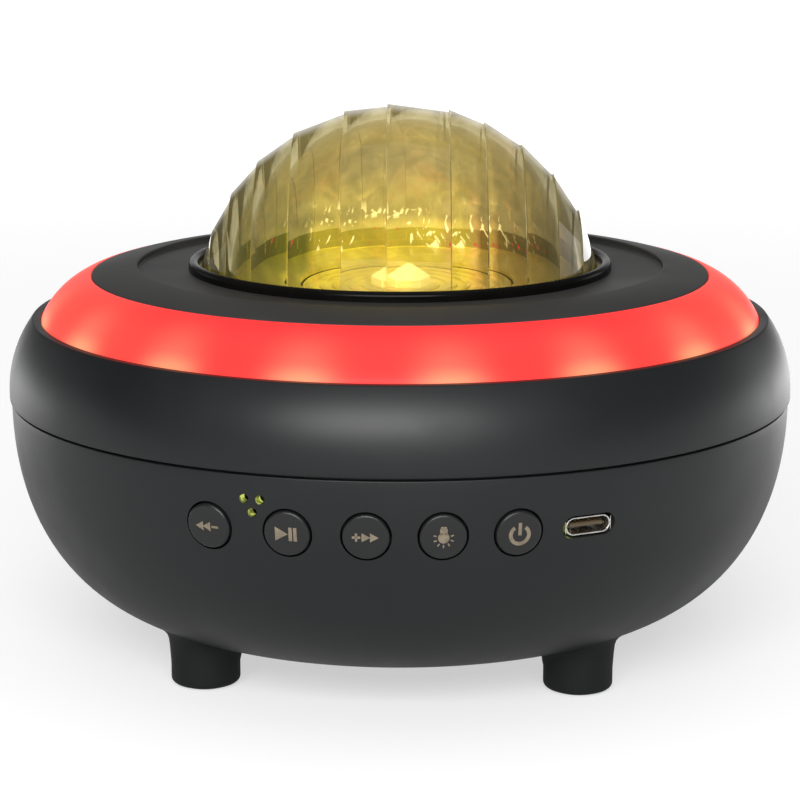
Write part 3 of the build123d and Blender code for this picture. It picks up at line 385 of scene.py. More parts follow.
# %% [markdown]
# The shells are black plastic with a soft-touch coat: very dark, rather rough, with a weak surface gloss that
# only shows as a broad sheen on the bulge and a bright line where a shell turns away from the eye. The colour
# is nearly black and the grey in the picture comes from the light, so the same finish also holds in another
# room. The plate, the buttons, the feet and the rubber are the same recipe with other values.

# %% Soft-touch blacks
def moulded(name, dark, pale, rough, sheen, fineness=2600.0, depth=0.02, dusty=0.8):
    """Matte moulding: two close tones, mottled gloss, a pressed grain and dust."""
    finish, tree, shader = new_finish(name, Specular_IOR_Level=sheen)
    grain = grouped(tree, grain_group, Fineness=fineness)
    specks = grouped(tree, dust_group, Share=dusty)["Specks"]
    tone = blend(tree, grain["Mottle"], dark, pale)
    feed(tree, shader,
         Base_Color=blend(tree, specks, tone, (0.32, 0.31, 0.28)),
         Roughness=remap(tree, grain["Mottle"], 0.0, 1.0, rough - 0.04, rough + 0.04),
         Normal=bump(tree, grain["Grain"], 0.35, depth * MM))
    return finish


soft_black = moulded("soft_black", (0.0050, 0.0060, 0.0068), (0.0070, 0.0080, 0.0088), 0.46, 0.46)
plate_black = moulded("plate_black", (0.0270, 0.0262, 0.0250), (0.0330, 0.0322, 0.0310), 0.52, 0.44, 3400.0)
button_black = moulded("button_black", (0.0085, 0.0092, 0.0092), (0.0110, 0.0115, 0.0113), 0.36, 0.50,
                       3000.0, 0.01)
foot_black = moulded("foot_black", (0.0070, 0.0085, 0.0085), (0.0095, 0.0110, 0.0110), 0.62, 0.28)
rubber_black = moulded("rubber_black", (0.012, 0.012, 0.012), (0.018, 0.018, 0.018), 0.82, 0.25, 1500.0, 0.05)
print("soft-touch finishes made")


# %% [markdown]
# The collar round the dome is polished black: a very dark base under a smooth surface, so that it is a dark
# mirror. Faint rubbing marks, a slow change of its roughness, keep it from looking like ink.

# %% Polished black
gloss_black, tree, shader = new_finish("gloss_black", Specular_IOR_Level=0.08)
grain = grouped(tree, grain_group, Fineness=900.0, Mottle=70.0)
specks = grouped(tree, dust_group, Cells=240.0, Share=0.86)["Specks"]
tone = blend(tree, grain["Mottle"], (0.0028, 0.0026, 0.0024), (0.0048, 0.0044, 0.0040))
feed(tree, shader,
     Base_Color=blend(tree, specks, tone, (0.25, 0.24, 0.22)),
     Roughness=remap(tree, grain["Mottle"], 0.0, 1.0, 0.20, 0.30),
     Normal=bump(tree, grain["Grain"], 0.06, 0.01 * MM))
print("polished black made")

# %% [markdown]
# The ring is a milky diffuser with seventeen lamps standing under it. Each lamp leaves a pale hot spot near
# the ring's foot that fades upwards, and the plastic between them glows an even red. The pattern follows from
# the lamps: the angle round the axis is folded seventeen times, and the height above the foot dims it. The left
# and right ends of the ring also get a painted brightening, paler and more orange, set by the distance along X.

# %% Glow of the ring
LAMP_COUNT = 17
LAMP_AZIMUTH = 7.2
LAMP_FOCUS = 1.8
SPOT_FOCUS = 1.5
RING_FOOT_Z = 66.2 * MM
RING_HEAD_Z = high("light_ring").z
RING_RISE = RING_HEAD_Z - RING_FOOT_Z

lit_red, tree, shader = new_finish("lit_red", (0.30, 0.012, 0.012), Roughness=0.42, Specular_IOR_Level=0.15,
                                   Emission_Strength=1.0)
x, y, z = axes(tree)
angle = reckon(tree, "ARCTAN2", x, times(tree, y, -1.0))
turn = times(tree, reckon(tree, "SUBTRACT", angle, math.radians(LAMP_AZIMUTH)), LAMP_COUNT)
wave = reckon(tree, "ADD", times(tree, reckon(tree, "COSINE", turn), 0.5), 0.5)
near_lamp = reckon(tree, "POWER", wave, LAMP_FOCUS)
climb = reckon(tree, "DIVIDE", reckon(tree, "SUBTRACT", z, RING_FOOT_Z), RING_RISE)
spot = times(tree, near_lamp, remap(tree, climb, 0.0, 0.42, 1.0, 0.0))
plume = times(tree, near_lamp, remap(tree, climb, 0.0, 1.1, 0.65, 0.0))
cloud = grouped(tree, grain_group, Fineness=500.0, Mottle=60.0)["Mottle"]
glow = blend(tree, remap(tree, climb, 0.55, 1.0, 0.0, 1.0), (0.95, 0.046, 0.040), (0.92, 0.032, 0.034))
# Painted light: the left and right ends of the ring are painted paler and more orange, by X, not round the
# axis.
sides = remap(tree, reckon(tree, "ABSOLUTE", x), 30 * MM, 72 * MM, 0.0, 0.38)
glow = blend(tree, sides, glow, (1.0, 0.170, 0.100))
glow = blend(tree, plume, glow, (1.0, 0.290, 0.170))
glow = blend(tree, reckon(tree, "POWER", spot, SPOT_FOCUS), glow, (1.0, 0.39, 0.19))
glow = blend(tree, times(tree, cloud, 0.12), glow, (0.85, 0.05, 0.05))
feed(tree, shader, Emission_Color=glow)
print("lit ring with", LAMP_COUNT, "hot spots")

# %% [markdown]
# Under the dome lies the bright dish that throws the light upwards. Its lamps are coloured: olive green on
# the left, yellow in the middle, amber and brown on the right. The dish, the rippled disc and the lower edge
# of the dome carry that light as a painted glow, so its colour is worked out once, from the place across the
# dish.

# %% Light of the lamps under the dome
LAMP_REACH = 36.0 * MM
LAMP_COLOURS = ((0.00, (0.13, 0.15, 0.014)), (0.17, (0.30, 0.33, 0.02)), (0.23, (0.90, 0.78, 0.08)),
                (0.64, (1.18, 0.97, 0.11)), (0.71, (1.02, 0.68, 0.22)), (0.74, (0.34, 0.22, 0.05)),
                (1.00, (0.11, 0.10, 0.07)))


def lamp_light(tree, sway):
    """Colour of the lamps' light across the dish; sway is how far the borders wander."""
    x = axes(tree)["X"]
    swirl = noise(tree, place(tree), 60.0, 3.0)["Fac"]
    drift = times(tree, reckon(tree, "SUBTRACT", swirl, 0.5), sway)
    across = reckon(tree, "ADD", reckon(tree, "DIVIDE", x, 2 * LAMP_REACH), reckon(tree, "ADD", drift, 0.5))
    ramp = add(tree, "ShaderNodeValToRGB", {"Fac": across})
    stops = ramp.color_ramp.elements
    for position, colour in LAMP_COLOURS[1:-1]:
        stops.new(position).color = (*colour, 1.0)
    stops[0].color = (*LAMP_COLOURS[0][1], 1.0)
    stops[-1].color = (*LAMP_COLOURS[-1][1], 1.0)
    return ramp.outputs["Color"]


print("light of", len(LAMP_COLOURS), "tones")


# %% Finishes of the dish and the disc
def lit_surface(name, colour, rough):
    """A bright surface under the lamps: painted light in streaks over a mottled base, with painted shade
    towards the front.
    """
    finish, tree, shader = new_finish(name, colour, Roughness=rough, Emission_Strength=1.0)
    grain = grouped(tree, grain_group, Fineness=700.0, Mottle=120.0)
    streaks = noise(tree, place(tree), 130.0, 4.0, 1.6)["Fac"]
    # Painted shade: the front of the surface is painted darker, and the streaks darken it in patches.
    near = remap(tree, axes(tree)["Y"], -14 * MM, 12 * MM, 0.58, 0.0)
    shade = reckon(tree, "ADD", remap(tree, streaks, 0.35, 0.65, 0.3, 0.0), near)
    feed(tree, shader,
         Emission_Color=blend(tree, shade, lamp_light(tree, 0.12), (0.18, 0.15, 0.03)),
         Base_Color=blend(tree, grain["Mottle"], colour, tuple(0.85 * c for c in colour)),
         Normal=bump(tree, grain["Grain"], 0.15, 0.05 * MM))
    return finish


reflector = lit_surface("reflector", (0.45, 0.40, 0.16), 0.25)
rippled = lit_surface("rippled_disc", (0.50, 0.42, 0.14), 0.15)
print("dish and disc finishes made")


# %% Finishes of the lens
def lens_finish(name, colour, glow, paler, through):
    """Clear moulding with painted light: it glows in two tones, though it is no lamp."""
    finish, tree, shader = new_finish(name, colour, Roughness=0.08, IOR=1.5, Transmission_Weight=through,
                                      Emission_Strength=1.0)
    grain = grouped(tree, grain_group, Fineness=900.0, Mottle=260.0)
    feed(tree, shader,
         Base_Color=blend(tree, grain["Mottle"], colour, tuple(0.8 * c for c in colour)),
         Emission_Color=blend(tree, grain["Mottle"], glow, paler),
         Normal=bump(tree, grain["Grain"], 0.1, 0.05 * MM))
    return finish


lens_face = lens_finish("lens_face", (0.60, 0.56, 0.25), (1.15, 0.78, 0.30), (0.86, 0.95, 0.36), 0.3)
lens_edge_glow = lens_finish("lens_edge_glow", (0.80, 0.80, 0.55), (1.7, 1.75, 0.85), (1.4, 1.5, 0.70), 0.2)
print("lens finishes made")

# %% [markdown]
# The dome is clear acrylic with a smoky amber tint, and each of its facets gets a painted tone of its own,
# which stands in for the light that it bends from another part of the room. A colour ramp with hard steps at
# the facet edges holds these painted tones, and a cloud that is moved on at each step breaks them up into
# painted light and shade. The outside gets a faint painted glow that grows towards the top. The inside is a
# second finish
# with painted light: a painted glow of the lamps on its foot, which is only seen across the dome, so this
# painted light is kept to the front of its faces. Painted glints and a few painted red gleams from the ring sit
# in it.
# Metallic and Transmission stay plain numbers.

# %% Tints and painted light of the facets
DOME_FOOT_Z = low("dome_ring").z
DOME_SINK = 8.1 * MM
COLLAR_RADIUS = high("dome_ring").x
COLLAR_WIDTH = 2.0 * MM
COLLAR_INNER = COLLAR_RADIUS - COLLAR_WIDTH
DOME_GAP = 0.5 * MM
DOME_RADIUS = math.hypot(COLLAR_INNER - DOME_GAP, DOME_SINK)
FACET_ANGLES = (-78.0, -67.5, -56.0, -44.5, -31.5, -15.9, -3.6, 13.7, 24.2, 36.3, 48.8, 61.5, 79.0)
MIDDLE_TINT_AND_LIGHT = Vector((0.65, 0.565, 0.31))
LEFT_TINT_AND_SHADE = Vector((0.21, 0.202, 0.105))
RIGHT_TINT_AND_SHADE = Vector((0.14, 0.131, 0.105))
BRIGHTEST = 0.15
LEFT_FADE, RIGHT_FADE = 2.5, 1.4


def facet_tint_and_light(across):
    """The tint and painted light of a facet: painted brightest just right of the middle, olive at the left and
    grey at the right.
    """
    if across < BRIGHTEST:
        return MIDDLE_TINT_AND_LIGHT.lerp(LEFT_TINT_AND_SHADE, ((BRIGHTEST - across) / (BRIGHTEST + 1)) ** LEFT_FADE)
    return MIDDLE_TINT_AND_LIGHT.lerp(RIGHT_TINT_AND_SHADE, ((across - BRIGHTEST) / (1 - BRIGHTEST)) ** RIGHT_FADE)


def facet_tone(tree, x):
    """The tint and painted light of the facet that a point lies on."""
    across = reckon(tree, "ADD", reckon(tree, "DIVIDE", x, 2 * DOME_RADIUS), 0.5)
    ramp = add(tree, "ShaderNodeValToRGB", {"Fac": across})
    ramp.color_ramp.interpolation = "CONSTANT"
    stops = ramp.color_ramp.elements
    stops.remove(stops[1])
    reaches = [math.sin(math.radians(angle)) for angle in FACET_ANGLES]
    for start, stop in zip(reaches, reaches[1:]):
        facet = stops[0] if start == reaches[0] else stops.new(0.5 + 0.5 * start)
        facet.color = (*facet_tint_and_light((start + stop) / 2), 1.0)
    return ramp.outputs["Color"]


print("tints of", len(FACET_ANGLES) - 1, "facets, dome radius", round(DOME_RADIUS / MM, 2), "mm")

# %% Cut crystal
DARK = (0.0, 0.0, 0.0)


def cut_glass(name):
    """Clear tinted acrylic with painted light and shade on its facets: its finish, tree and shader, the height
    above the dome's foot and X.
    """
    finish, tree, shader = new_finish(name, IOR=1.49, Transmission_Weight=1.0, Emission_Strength=1.0,
                                      Specular_Tint=(0.15, 0.14, 0.1, 1.0))
    grain = grouped(tree, grain_group, Fineness=160.0, Mottle=40.0)
    specks = grouped(tree, dust_group, Cells=180.0, Size=0.010, Share=0.88)["Specks"]
    x, _, z = axes(tree)
    tone = facet_tone(tree, x)
    # Painted light and shade: a cloud, moved on at each facet, darkens each facet in patches and warms it in
    # others.
    moved = add(tree, "ShaderNodeVectorMath", {0: place(tree), 1: tone}, operation="ADD").outputs["Vector"]
    cloud = noise(tree, moved, 95.0, 3.0, 1.4)
    shade = remap(tree, cloud["Fac"], 0.35, 0.65, 0.70, 1.0)
    tone = blend(tree, shade, DARK, tone)
    warm = channel(tree, cloud["Color"], 2)
    tone = blend(tree, remap(tree, warm, 0.56, 0.68, 0.0, 0.45), tone, (0.72, 0.46, 0.22))
    feed(tree, shader,
         Base_Color=blend(tree, specks, tone, (0.9, 0.88, 0.8)),
         Roughness=remap(tree, grain["Mottle"], 0.0, 1.0, 0.0, 0.03),
         Normal=bump(tree, grain["Grain"], 0.05, 0.2 * MM))
    return finish, tree, shader, reckon(tree, "SUBTRACT", z, DOME_FOOT_Z), x


crystal, tree, shader, climb, x = cut_glass("crystal")
# Painted light: the outside of the dome glows faintly, more towards the top.
painted_glow_rising = remap(tree, climb, 0.0, 34 * MM, 0.35, 1.0)
feed(tree, shader, Emission_Color=blend(tree, painted_glow_rising, DARK, (0.075, 0.062, 0.022)))
print("outside of the crystal made")

# %% Painted light inside the crystal
GLOW = 1.6
crystal_inside, tree, shader, climb, x = cut_glass("crystal_inside")
# Painted light: the inside glows in the lamps' colours at its foot and higher in the middle, with painted
# glints and painted red gleams of the ring, only on faces seen from their front.
outward = add(tree, "ShaderNodeNewGeometry").outputs["Backfacing"]
inward = reckon(tree, "SUBTRACT", 1.0, outward)
flash = noise(tree, place(tree), 170.0, 2.0, 2.2)
gleam = channel(tree, flash["Color"], 1)
aside = reckon(tree, "ABSOLUTE", x)
middle = remap(tree, aside, 14 * MM, 28 * MM, 1.0, 0.0)
foot_light = remap(tree, climb, 3.2 * MM, 6.2 * MM, 0.30, 0.0)
high_light = times(tree, remap(tree, climb, 8 * MM, 19 * MM, 0.26, 0.0),
                   remap(tree, aside, 18 * MM, 36 * MM, 1.0, 0.0))
glint = times(tree, remap(tree, flash["Fac"], 0.58, 0.66, 0.0, 1.0),
              times(tree, remap(tree, climb, 4 * MM, 11 * MM, 1.0, 0.0), middle))
red = times(tree, remap(tree, gleam, 0.66, 0.72, 0.0, 1.0), remap(tree, climb, 2 * MM, 6 * MM, 1.0, 0.0))
glow = blend(tree, reckon(tree, "ADD", foot_light, high_light), DARK, lamp_light(tree, 0.10))
glow = blend(tree, glint, glow, (1.6, 1.5, 0.9))
glow = blend(tree, red, glow, (0.9, 0.05, 0.05))
shader.inputs["Emission Strength"].default_value = GLOW
feed(tree, shader, Emission_Color=blend(tree, inward, DARK, glow))
print("inside of the crystal made")

# %% [markdown]
# The bowl is one shell with a flat underside. Its side is a superellipse, fuller than a circle, so its
# outline is worked out by that formula and spun. The centre hole of the grille is simply where the outline
# starts; all the other holes are drilled later, once the buttons have taken their curved faces from the skin.

# %% Bowl
SEAM_Z = high("base_shell").z
BOWL_RADIUS = 77.1 * MM
UNDERSIDE_Z = low("base_shell").z
UNDERSIDE_RADIUS = 42.6 * MM
BOWL_FULLNESS = 2.23
WALL = 2.2 * MM
GROOVE_HEIGHT = 0.5 * MM
GROOVE_DEPTH = 0.9 * MM
EDGE = 0.2 * MM
GRILLE_HOLE_RADIUS = 1.4 * MM
CURVE_POINTS = 44


def superellipse(centre, reach, fullness, stop=90.0):
    """Points along a quarter superellipse in (radius, height), from its widest point towards its pole."""
    points = []
    for i in range(CURVE_POINTS + 1):
        angle = math.radians(stop * i / CURVE_POINTS)
        across = max(math.cos(angle), 0.0) ** (2 / fullness)
        along = math.sin(angle) ** (2 / fullness)
        points.append((centre[0] + reach[0] * across, centre[1] + reach[1] * along))
    return points


def bowl_radius(z):
    """Radius of the bowl's skin at a height."""
    fall = (SEAM_Z - z) / (SEAM_Z - UNDERSIDE_Z)
    rest = (1 - fall ** BOWL_FULLNESS) ** (1 / BOWL_FULLNESS)
    return UNDERSIDE_RADIUS + (BOWL_RADIUS - UNDERSIDE_RADIUS) * rest


def bowl_curve(inset):
    reach = (BOWL_RADIUS - UNDERSIDE_RADIUS - inset, UNDERSIDE_Z + inset - SEAM_Z)
    return superellipse((UNDERSIDE_RADIUS, SEAM_Z), reach, BOWL_FULLNESS)


groove_z = SEAM_Z - GROOVE_HEIGHT
skin = [point for point in reversed(bowl_curve(0.0)) if point[1] < groove_z - EDGE]
rim = [(bowl_radius(groove_z), groove_z), (BOWL_RADIUS - GROOVE_DEPTH, groove_z),
       (BOWL_RADIUS - GROOVE_DEPTH, SEAM_Z)]
outline = [(GRILLE_HOLE_RADIUS, UNDERSIDE_Z)] + skin + rim + bowl_curve(WALL)
outline.append((GRILLE_HOLE_RADIUS, UNDERSIDE_Z + WALL))
bowl = lathe("bowl", outline, [(1 + len(skin), EDGE)])
print("bowl of", len(outline), "outline points")

# %% [markdown]
# Five round buttons stand a little proud of the bowl and follow its curve. Each starts as a cylinder; its
# front is inset a few times for points to bend, shrinkwrapped to the bowl's skin at the height it stands
# proud, and its edge is bevelled. A flange and a stem behind keep it from falling out. One button is modelled
# facing forwards and swung to its five places.

# %% Laying a face on the bowl
def lay_on_skin(piece, group, proud):
    """Shrinkwraps a vertex group towards the axis, to stand proud of the bowl."""
    apply_modifier(piece, "SHRINKWRAP", target=bowl, wrap_method="PROJECT", vertex_group=group, offset=proud,
                   use_project_y=True, use_project_z=False, use_positive_direction=True,
                   use_negative_direction=False)


def name_group(piece, name):
    """Puts the selected vertices of the piece in edit mode into a new vertex group."""
    bpy.ops.object.vertex_group_add()
    piece.vertex_groups.active.name = name
    bpy.ops.object.vertex_group_assign()


# %% Buttons
BUTTON_NAMES = ("rewind", "play", "forward", "light", "power")
BUTTON_AZIMUTHS = (-25.9, -14.8, -4.4, 5.6, 15.6)
BUTTON_Z = (low("play_button").z + high("play_button").z) / 2
BUTTON_RADIUS = 4.15 * MM
BUTTON_PROUD = 0.6 * MM
BUTTON_EDGE = 0.55 * MM
BUTTON_RINGS = 5
FLANGE_RADIUS = 5.2 * MM
FLANGE_THICKNESS = 1.1 * MM
STEM_RADIUS = 1.3 * MM
STEM_LENGTH = 1.6 * MM
FLANGE_FACE = 72.2 * MM
BUTTON_START = 80.0 * MM

button = drill(BUTTON_RADIUS, FLANGE_FACE, BUTTON_START, 0.0, BUTTON_Z, 72)
edit_mode()
pick_facing(FRONT)
for ring in range(BUTTON_RINGS):
    bpy.ops.mesh.inset(thickness=BUTTON_RADIUS / (BUTTON_RINGS + 1))
pick("VERT", lambda v: v.co.y < WELD - BUTTON_START)
name_group(button, "face")
pick_facing(-FRONT)
back = Vector((0, -FLANGE_FACE, BUTTON_Z))
push((0, 0, 0))
wide = FLANGE_RADIUS / BUTTON_RADIUS
bpy.ops.transform.resize(value=(wide, 1, wide), center_override=back)
push((0, FLANGE_THICKNESS, 0))
bpy.ops.mesh.inset(thickness=FLANGE_RADIUS - STEM_RADIUS)
push((0, STEM_LENGTH, 0))
object_mode()
lay_on_skin(button, "face", BUTTON_PROUD)
edit_mode()


def on_rim(vertex):
    reach = math.hypot(vertex.co.x, vertex.co.z - BUTTON_Z)
    return abs(reach - BUTTON_RADIUS) < 10 * WELD and vertex.co.y < -FLANGE_FACE - BUTTON_PROUD


pick("EDGE", lambda e: all(on_rim(v) for v in e.verts))
bpy.ops.mesh.bevel(offset=BUTTON_EDGE, segments=6, affect="EDGES")
object_mode()
for name, azimuth in zip(BUTTON_NAMES, BUTTON_AZIMUTHS):
    cap = turned_copy(button, name + "_cap", azimuth)
    hand_over(cap, button_black, name + "_key", "button_black", name + "_button")
bpy.data.objects.remove(button)

# %% [markdown]
# The symbols are printed in a tan ink. They are drawn flat in front of the forward-facing button from
# triangles, bars and a ring, subdivided, shrinkwrapped just above the button's face and given the thickness
# of a print. Text objects would bring lettering; these five signs are the plain ones on any player.

# %% Ink
ink, tree, shader = new_finish("printed_ink", Specular_IOR_Level=0.25, Roughness=0.6)
grain = grouped(tree, grain_group, Fineness=4200.0, Mottle=900.0)
feed(tree, shader,
     Base_Color=blend(tree, grain["Mottle"], (0.27, 0.222, 0.160), (0.20, 0.165, 0.118)),
     Normal=bump(tree, grain["Grain"], 0.2, 0.01 * MM))
print("ink made")


# %% Drawing a sign
def flat_start(vertices, radius, turn=0.0, x=0.0, z=0.0):
    """A filled regular polygon, upright in front of the button, its first corner pointing up."""
    return primitive(bpy.ops.mesh.primitive_circle_add, vertices=vertices, radius=radius, fill_type="NGON",
                     location=(x, -BUTTON_START, BUTTON_Z + z), rotation=(math.pi / 2, math.radians(turn), 0))


def stretched(piece, width, height, x, z):
    """Scales a flat sign to a width and a height about its place."""
    size = piece.dimensions
    edit_mode()
    pick_all()
    corners = [v.co for v in bmesh.from_edit_mesh(piece.data).verts]
    middle = Vector(((min(c.x for c in corners) + max(c.x for c in corners)) / 2, -BUTTON_START,
                     (min(c.z for c in corners) + max(c.z for c in corners)) / 2))
    bpy.ops.transform.resize(value=(width / size.x, 1, height / size.z), center_override=middle)
    bpy.ops.transform.translate(value=Vector((x, -BUTTON_START, BUTTON_Z + z)) - middle)
    object_mode()
    return piece


def bar(width, height, x=0.0, z=0.0, turn=0.0):
    piece = stretched(flat_start(4, MM, 45.0), width * MM, height * MM, 0.0, 0.0)
    edit_mode()
    pick_all()
    middle = Vector((0, -BUTTON_START, BUTTON_Z))
    bpy.ops.transform.rotate(value=math.radians(turn), orient_axis="Y", center_override=middle)
    bpy.ops.transform.translate(value=(x * MM, 0, z * MM))
    object_mode()
    return piece


def arrow(width, height, x, way):
    """A triangle pointing right for 1 and left for -1."""
    return stretched(flat_start(3, MM, 90.0 * way), width * MM, height * MM, x * MM, 0.0)


# %% Symbols
def rewind_sign():
    return [arrow(1.5, 1.75, -1.55, -1), arrow(1.5, 1.75, -0.15, -1), bar(1.35, 0.42, 1.5)]


def play_sign():
    return [arrow(2.3, 2.6, -0.85, 1), bar(0.62, 2.5, 0.75), bar(0.62, 2.5, 1.62)]


def forward_sign():
    return [bar(1.5, 0.42, -1.65), bar(0.42, 1.5, -1.65), arrow(1.5, 1.7, 0.05, 1), arrow(1.5, 1.7, 1.5, 1)]


def light_sign():
    rays, spread, reach, drop = 7, 35, 1.55, 0.1
    pieces = [flat_start(28, MM, z=-drop * MM), bar(1.3, 1.2, 0.0, 1.0), bar(1.0, 0.5, 0.0, 1.7)]
    for i in range(rays):
        swing = spread * (i - (rays - 1) / 2)
        angle = math.radians(swing)
        pieces.append(bar(0.26, 0.56, reach * math.sin(angle), -drop - reach * math.cos(angle), swing))
    return pieces


def power_sign():
    ring = start_outline("power_ring")
    inner, outer, gap = 1.30 * MM, 1.98 * MM, math.radians(36)
    centre = Vector((0, -BUTTON_START, BUTTON_Z - 0.2 * MM))
    slant = Vector((math.sin(gap), 0, math.cos(gap)))
    draw([centre + inner * slant, centre + outer * slant])
    bpy.ops.mesh.spin(steps=40, angle=math.tau - 2 * gap, center=centre, axis=(0, -1, 0))
    object_mode()
    return [ring, bar(0.62, 2.3, 0.0, 0.85)]


signs = {"rewind": rewind_sign, "play": play_sign, "forward": forward_sign, "light": light_sign,
         "power": power_sign}
print("signs:", ", ".join(signs))

# %% Printing the signs
PRINT_LIFT = 0.015 * MM
PRINT_THICKNESS = 0.04 * MM
SIGN_CUTS = 4

for name, azimuth in zip(BUTTON_NAMES, BUTTON_AZIMUTHS):
    sign = joined(signs[name]())
    edit_mode()
    pick_all()
    bpy.ops.mesh.quads_convert_to_tris()
    bpy.ops.mesh.subdivide(number_cuts=SIGN_CUTS)
    bpy.ops.mesh.normals_make_consistent(inside=False)
    name_group(sign, "print")
    object_mode()
    lay_on_skin(sign, "print", BUTTON_PROUD + PRINT_LIFT)
    apply_modifier(sign, "SOLIDIFY", thickness=PRINT_THICKNESS, offset=1.0)
    printed = turned_copy(sign, name + "_sign", azimuth)
    bpy.data.objects.remove(sign)
    hand_over(printed, ink, name + "_key", "button_black")

# %% [markdown]
# Now the bowl is drilled: five button holes, the slot of the charging port, three small holes over the status
# light and the grille underneath. The cutters carry finishes of their own, and the boolean leaves them on the
# walls of the holes, so the walls of the three light holes and of the port slot carry a painted glow of the
# green-yellow light behind them.

# %% Painted light on the hole walls
lit_wall, tree, shader = new_finish("lit_hole_wall", (0.02, 0.02, 0.018), Roughness=0.5,
                                    Emission_Strength=1.0)
facing = add(tree, "ShaderNodeSeparateXYZ", {0: add(tree, "ShaderNodeTexCoord").outputs["Normal"]}).outputs
# Painted light: the walls whose faces turn right and up are painted lit in patches, and the others stay dark.
lean = reckon(tree, "ADD", facing["X"], times(tree, facing["Z"], 0.35))
cloud = grouped(tree, grain_group, Fineness=900.0, Mottle=700.0)["Mottle"]
amount = times(tree, remap(tree, lean, 0.35, 0.85, 0.0, 1.0), remap(tree, cloud, 0.3, 0.8, 0.2, 1.0))
feed(tree, shader, Emission_Color=blend(tree, amount, DARK, (0.66, 0.76, 0.14)))
print("lit walls made")

# %% Blocks for the port
ROUND_SHARE = 0.499


def block(width, height, near, far, x=0.0, z=0.0):
    """A block lying forwards at the height of the port, in edit mode."""
    piece = primitive(bpy.ops.mesh.primitive_cube_add, size=1, location=(x, -(near + far) / 2, BUTTON_Z + z),
                      scale=(width, far - near, height))
    edit_mode()
    return piece


def bar_with_round_ends(width, height, near, far, segments=10):
    piece = block(width, height, near, far)
    pick("EDGE", lambda e: abs(e.verts[0].co.y - e.verts[1].co.y) > MM)
    bpy.ops.mesh.bevel(offset=height * ROUND_SHARE, segments=segments, affect="EDGES")
    object_mode()
    return piece


# %% Holes
MOVING_GAP = 0.35 * MM
PORT_AZIMUTH = 25.7
PORT_SLOT_SIDE = 0.75 * MM
PORT_SLOT_RISE = 0.45 * MM
PORT_WIDTH = 8.94 * MM
PORT_HEIGHT = 3.26 * MM
LIGHT_HOLE_RADIUS = 0.85 * MM
LIGHT_HOLES = ((-20.57, 46.1), (-18.33, 46.1), (-19.45, 43.7))
GRILLE_PITCH = 4.8 * MM
GRILLE_RINGS = 3
HOLE_START = 70.0 * MM

cutters = []
for azimuth in BUTTON_AZIMUTHS:
    cutters.append(drill(BUTTON_RADIUS + MOVING_GAP, HOLE_START, BUTTON_START, azimuth, BUTTON_Z, 72))
for ring in range(1, GRILLE_RINGS + 1):
    for i in range(6 * ring):
        angle = math.tau * i / (6 * ring)
        reach = ring * GRILLE_PITCH
        cutters.append(primitive(
            bpy.ops.mesh.primitive_cylinder_add, vertices=24, radius=GRILLE_HOLE_RADIUS, depth=4 * WALL,
            location=(reach * math.sin(angle), -reach * math.cos(angle), UNDERSIDE_Z)))
plain_cutter = joined(cutters)
plain_cutter.data.materials.append(soft_black)
slot = bar_with_round_ends(PORT_WIDTH + 2 * PORT_SLOT_SIDE, PORT_HEIGHT + 2 * PORT_SLOT_RISE, HOLE_START,
                           BUTTON_START)
lit_cutters = [turned_copy(slot, "port_slot", PORT_AZIMUTH)]
bpy.data.objects.remove(slot)
for azimuth, z in LIGHT_HOLES:
    lit_cutters.append(drill(LIGHT_HOLE_RADIUS, HOLE_START, BUTTON_START, azimuth, z * MM, 32))
lit_cutter = joined(lit_cutters)
lit_cutter.data.materials.append(lit_wall)
bowl.data.materials.append(soft_black)
carve(bowl, plain_cutter)
carve(bowl, lit_cutter)
hand_over(bowl, None, "housing", "soft_black", "base_shell")

# %% [markdown]
# The charging port is a drawn metal can with a tongue in it. The can is a cube with its long edges bevelled
# to half circles, inset at the front and pushed in to leave a thin wall; a small bevel round the mouth gives
# it a bright line. The tongue is a bevelled bar with six gilt contacts on each face.

# %% Port metals
port_metal, tree, shader = new_finish("port_metal", (0.74, 0.73, 0.70), Metallic=1.0)
grain = grouped(tree, grain_group, Fineness=2200.0, Mottle=420.0)
feed(tree, shader,
     Base_Color=blend(tree, grain["Mottle"], (0.78, 0.77, 0.75), (0.62, 0.61, 0.58)),
     Roughness=remap(tree, grain["Grain"], 0.2, 0.8, 0.20, 0.36),
     Normal=bump(tree, grain["Grain"], 0.08, 0.01 * MM))
gilt, tree, shader = new_finish("gilt", (0.85, 0.62, 0.25), Metallic=1.0)
grain = grouped(tree, grain_group, Fineness=5200.0, Mottle=900.0)
feed(tree, shader,
     Base_Color=blend(tree, grain["Mottle"], (0.85, 0.62, 0.25), (0.62, 0.42, 0.15)),
     Roughness=remap(tree, grain["Grain"], 0.2, 0.8, 0.25, 0.42))
insulator = moulded("insulator_black", (0.010, 0.009, 0.008), (0.016, 0.014, 0.012), 0.55, 0.4, 4200.0, 0.01,
                    0.95)
tongue_tan = moulded("tongue_tan", (0.085, 0.062, 0.036), (0.130, 0.098, 0.058), 0.45, 0.4, 4200.0, 0.01,
                     0.95)
print("port finishes made")

# %% Port can
PORT_INSET = 0.5 * MM
PORT_FACE = bowl_radius(BUTTON_Z) - PORT_INSET
PORT_DEPTH = 7.3 * MM
PORT_WALL = 0.3 * MM
PORT_EDGE = 0.1 * MM

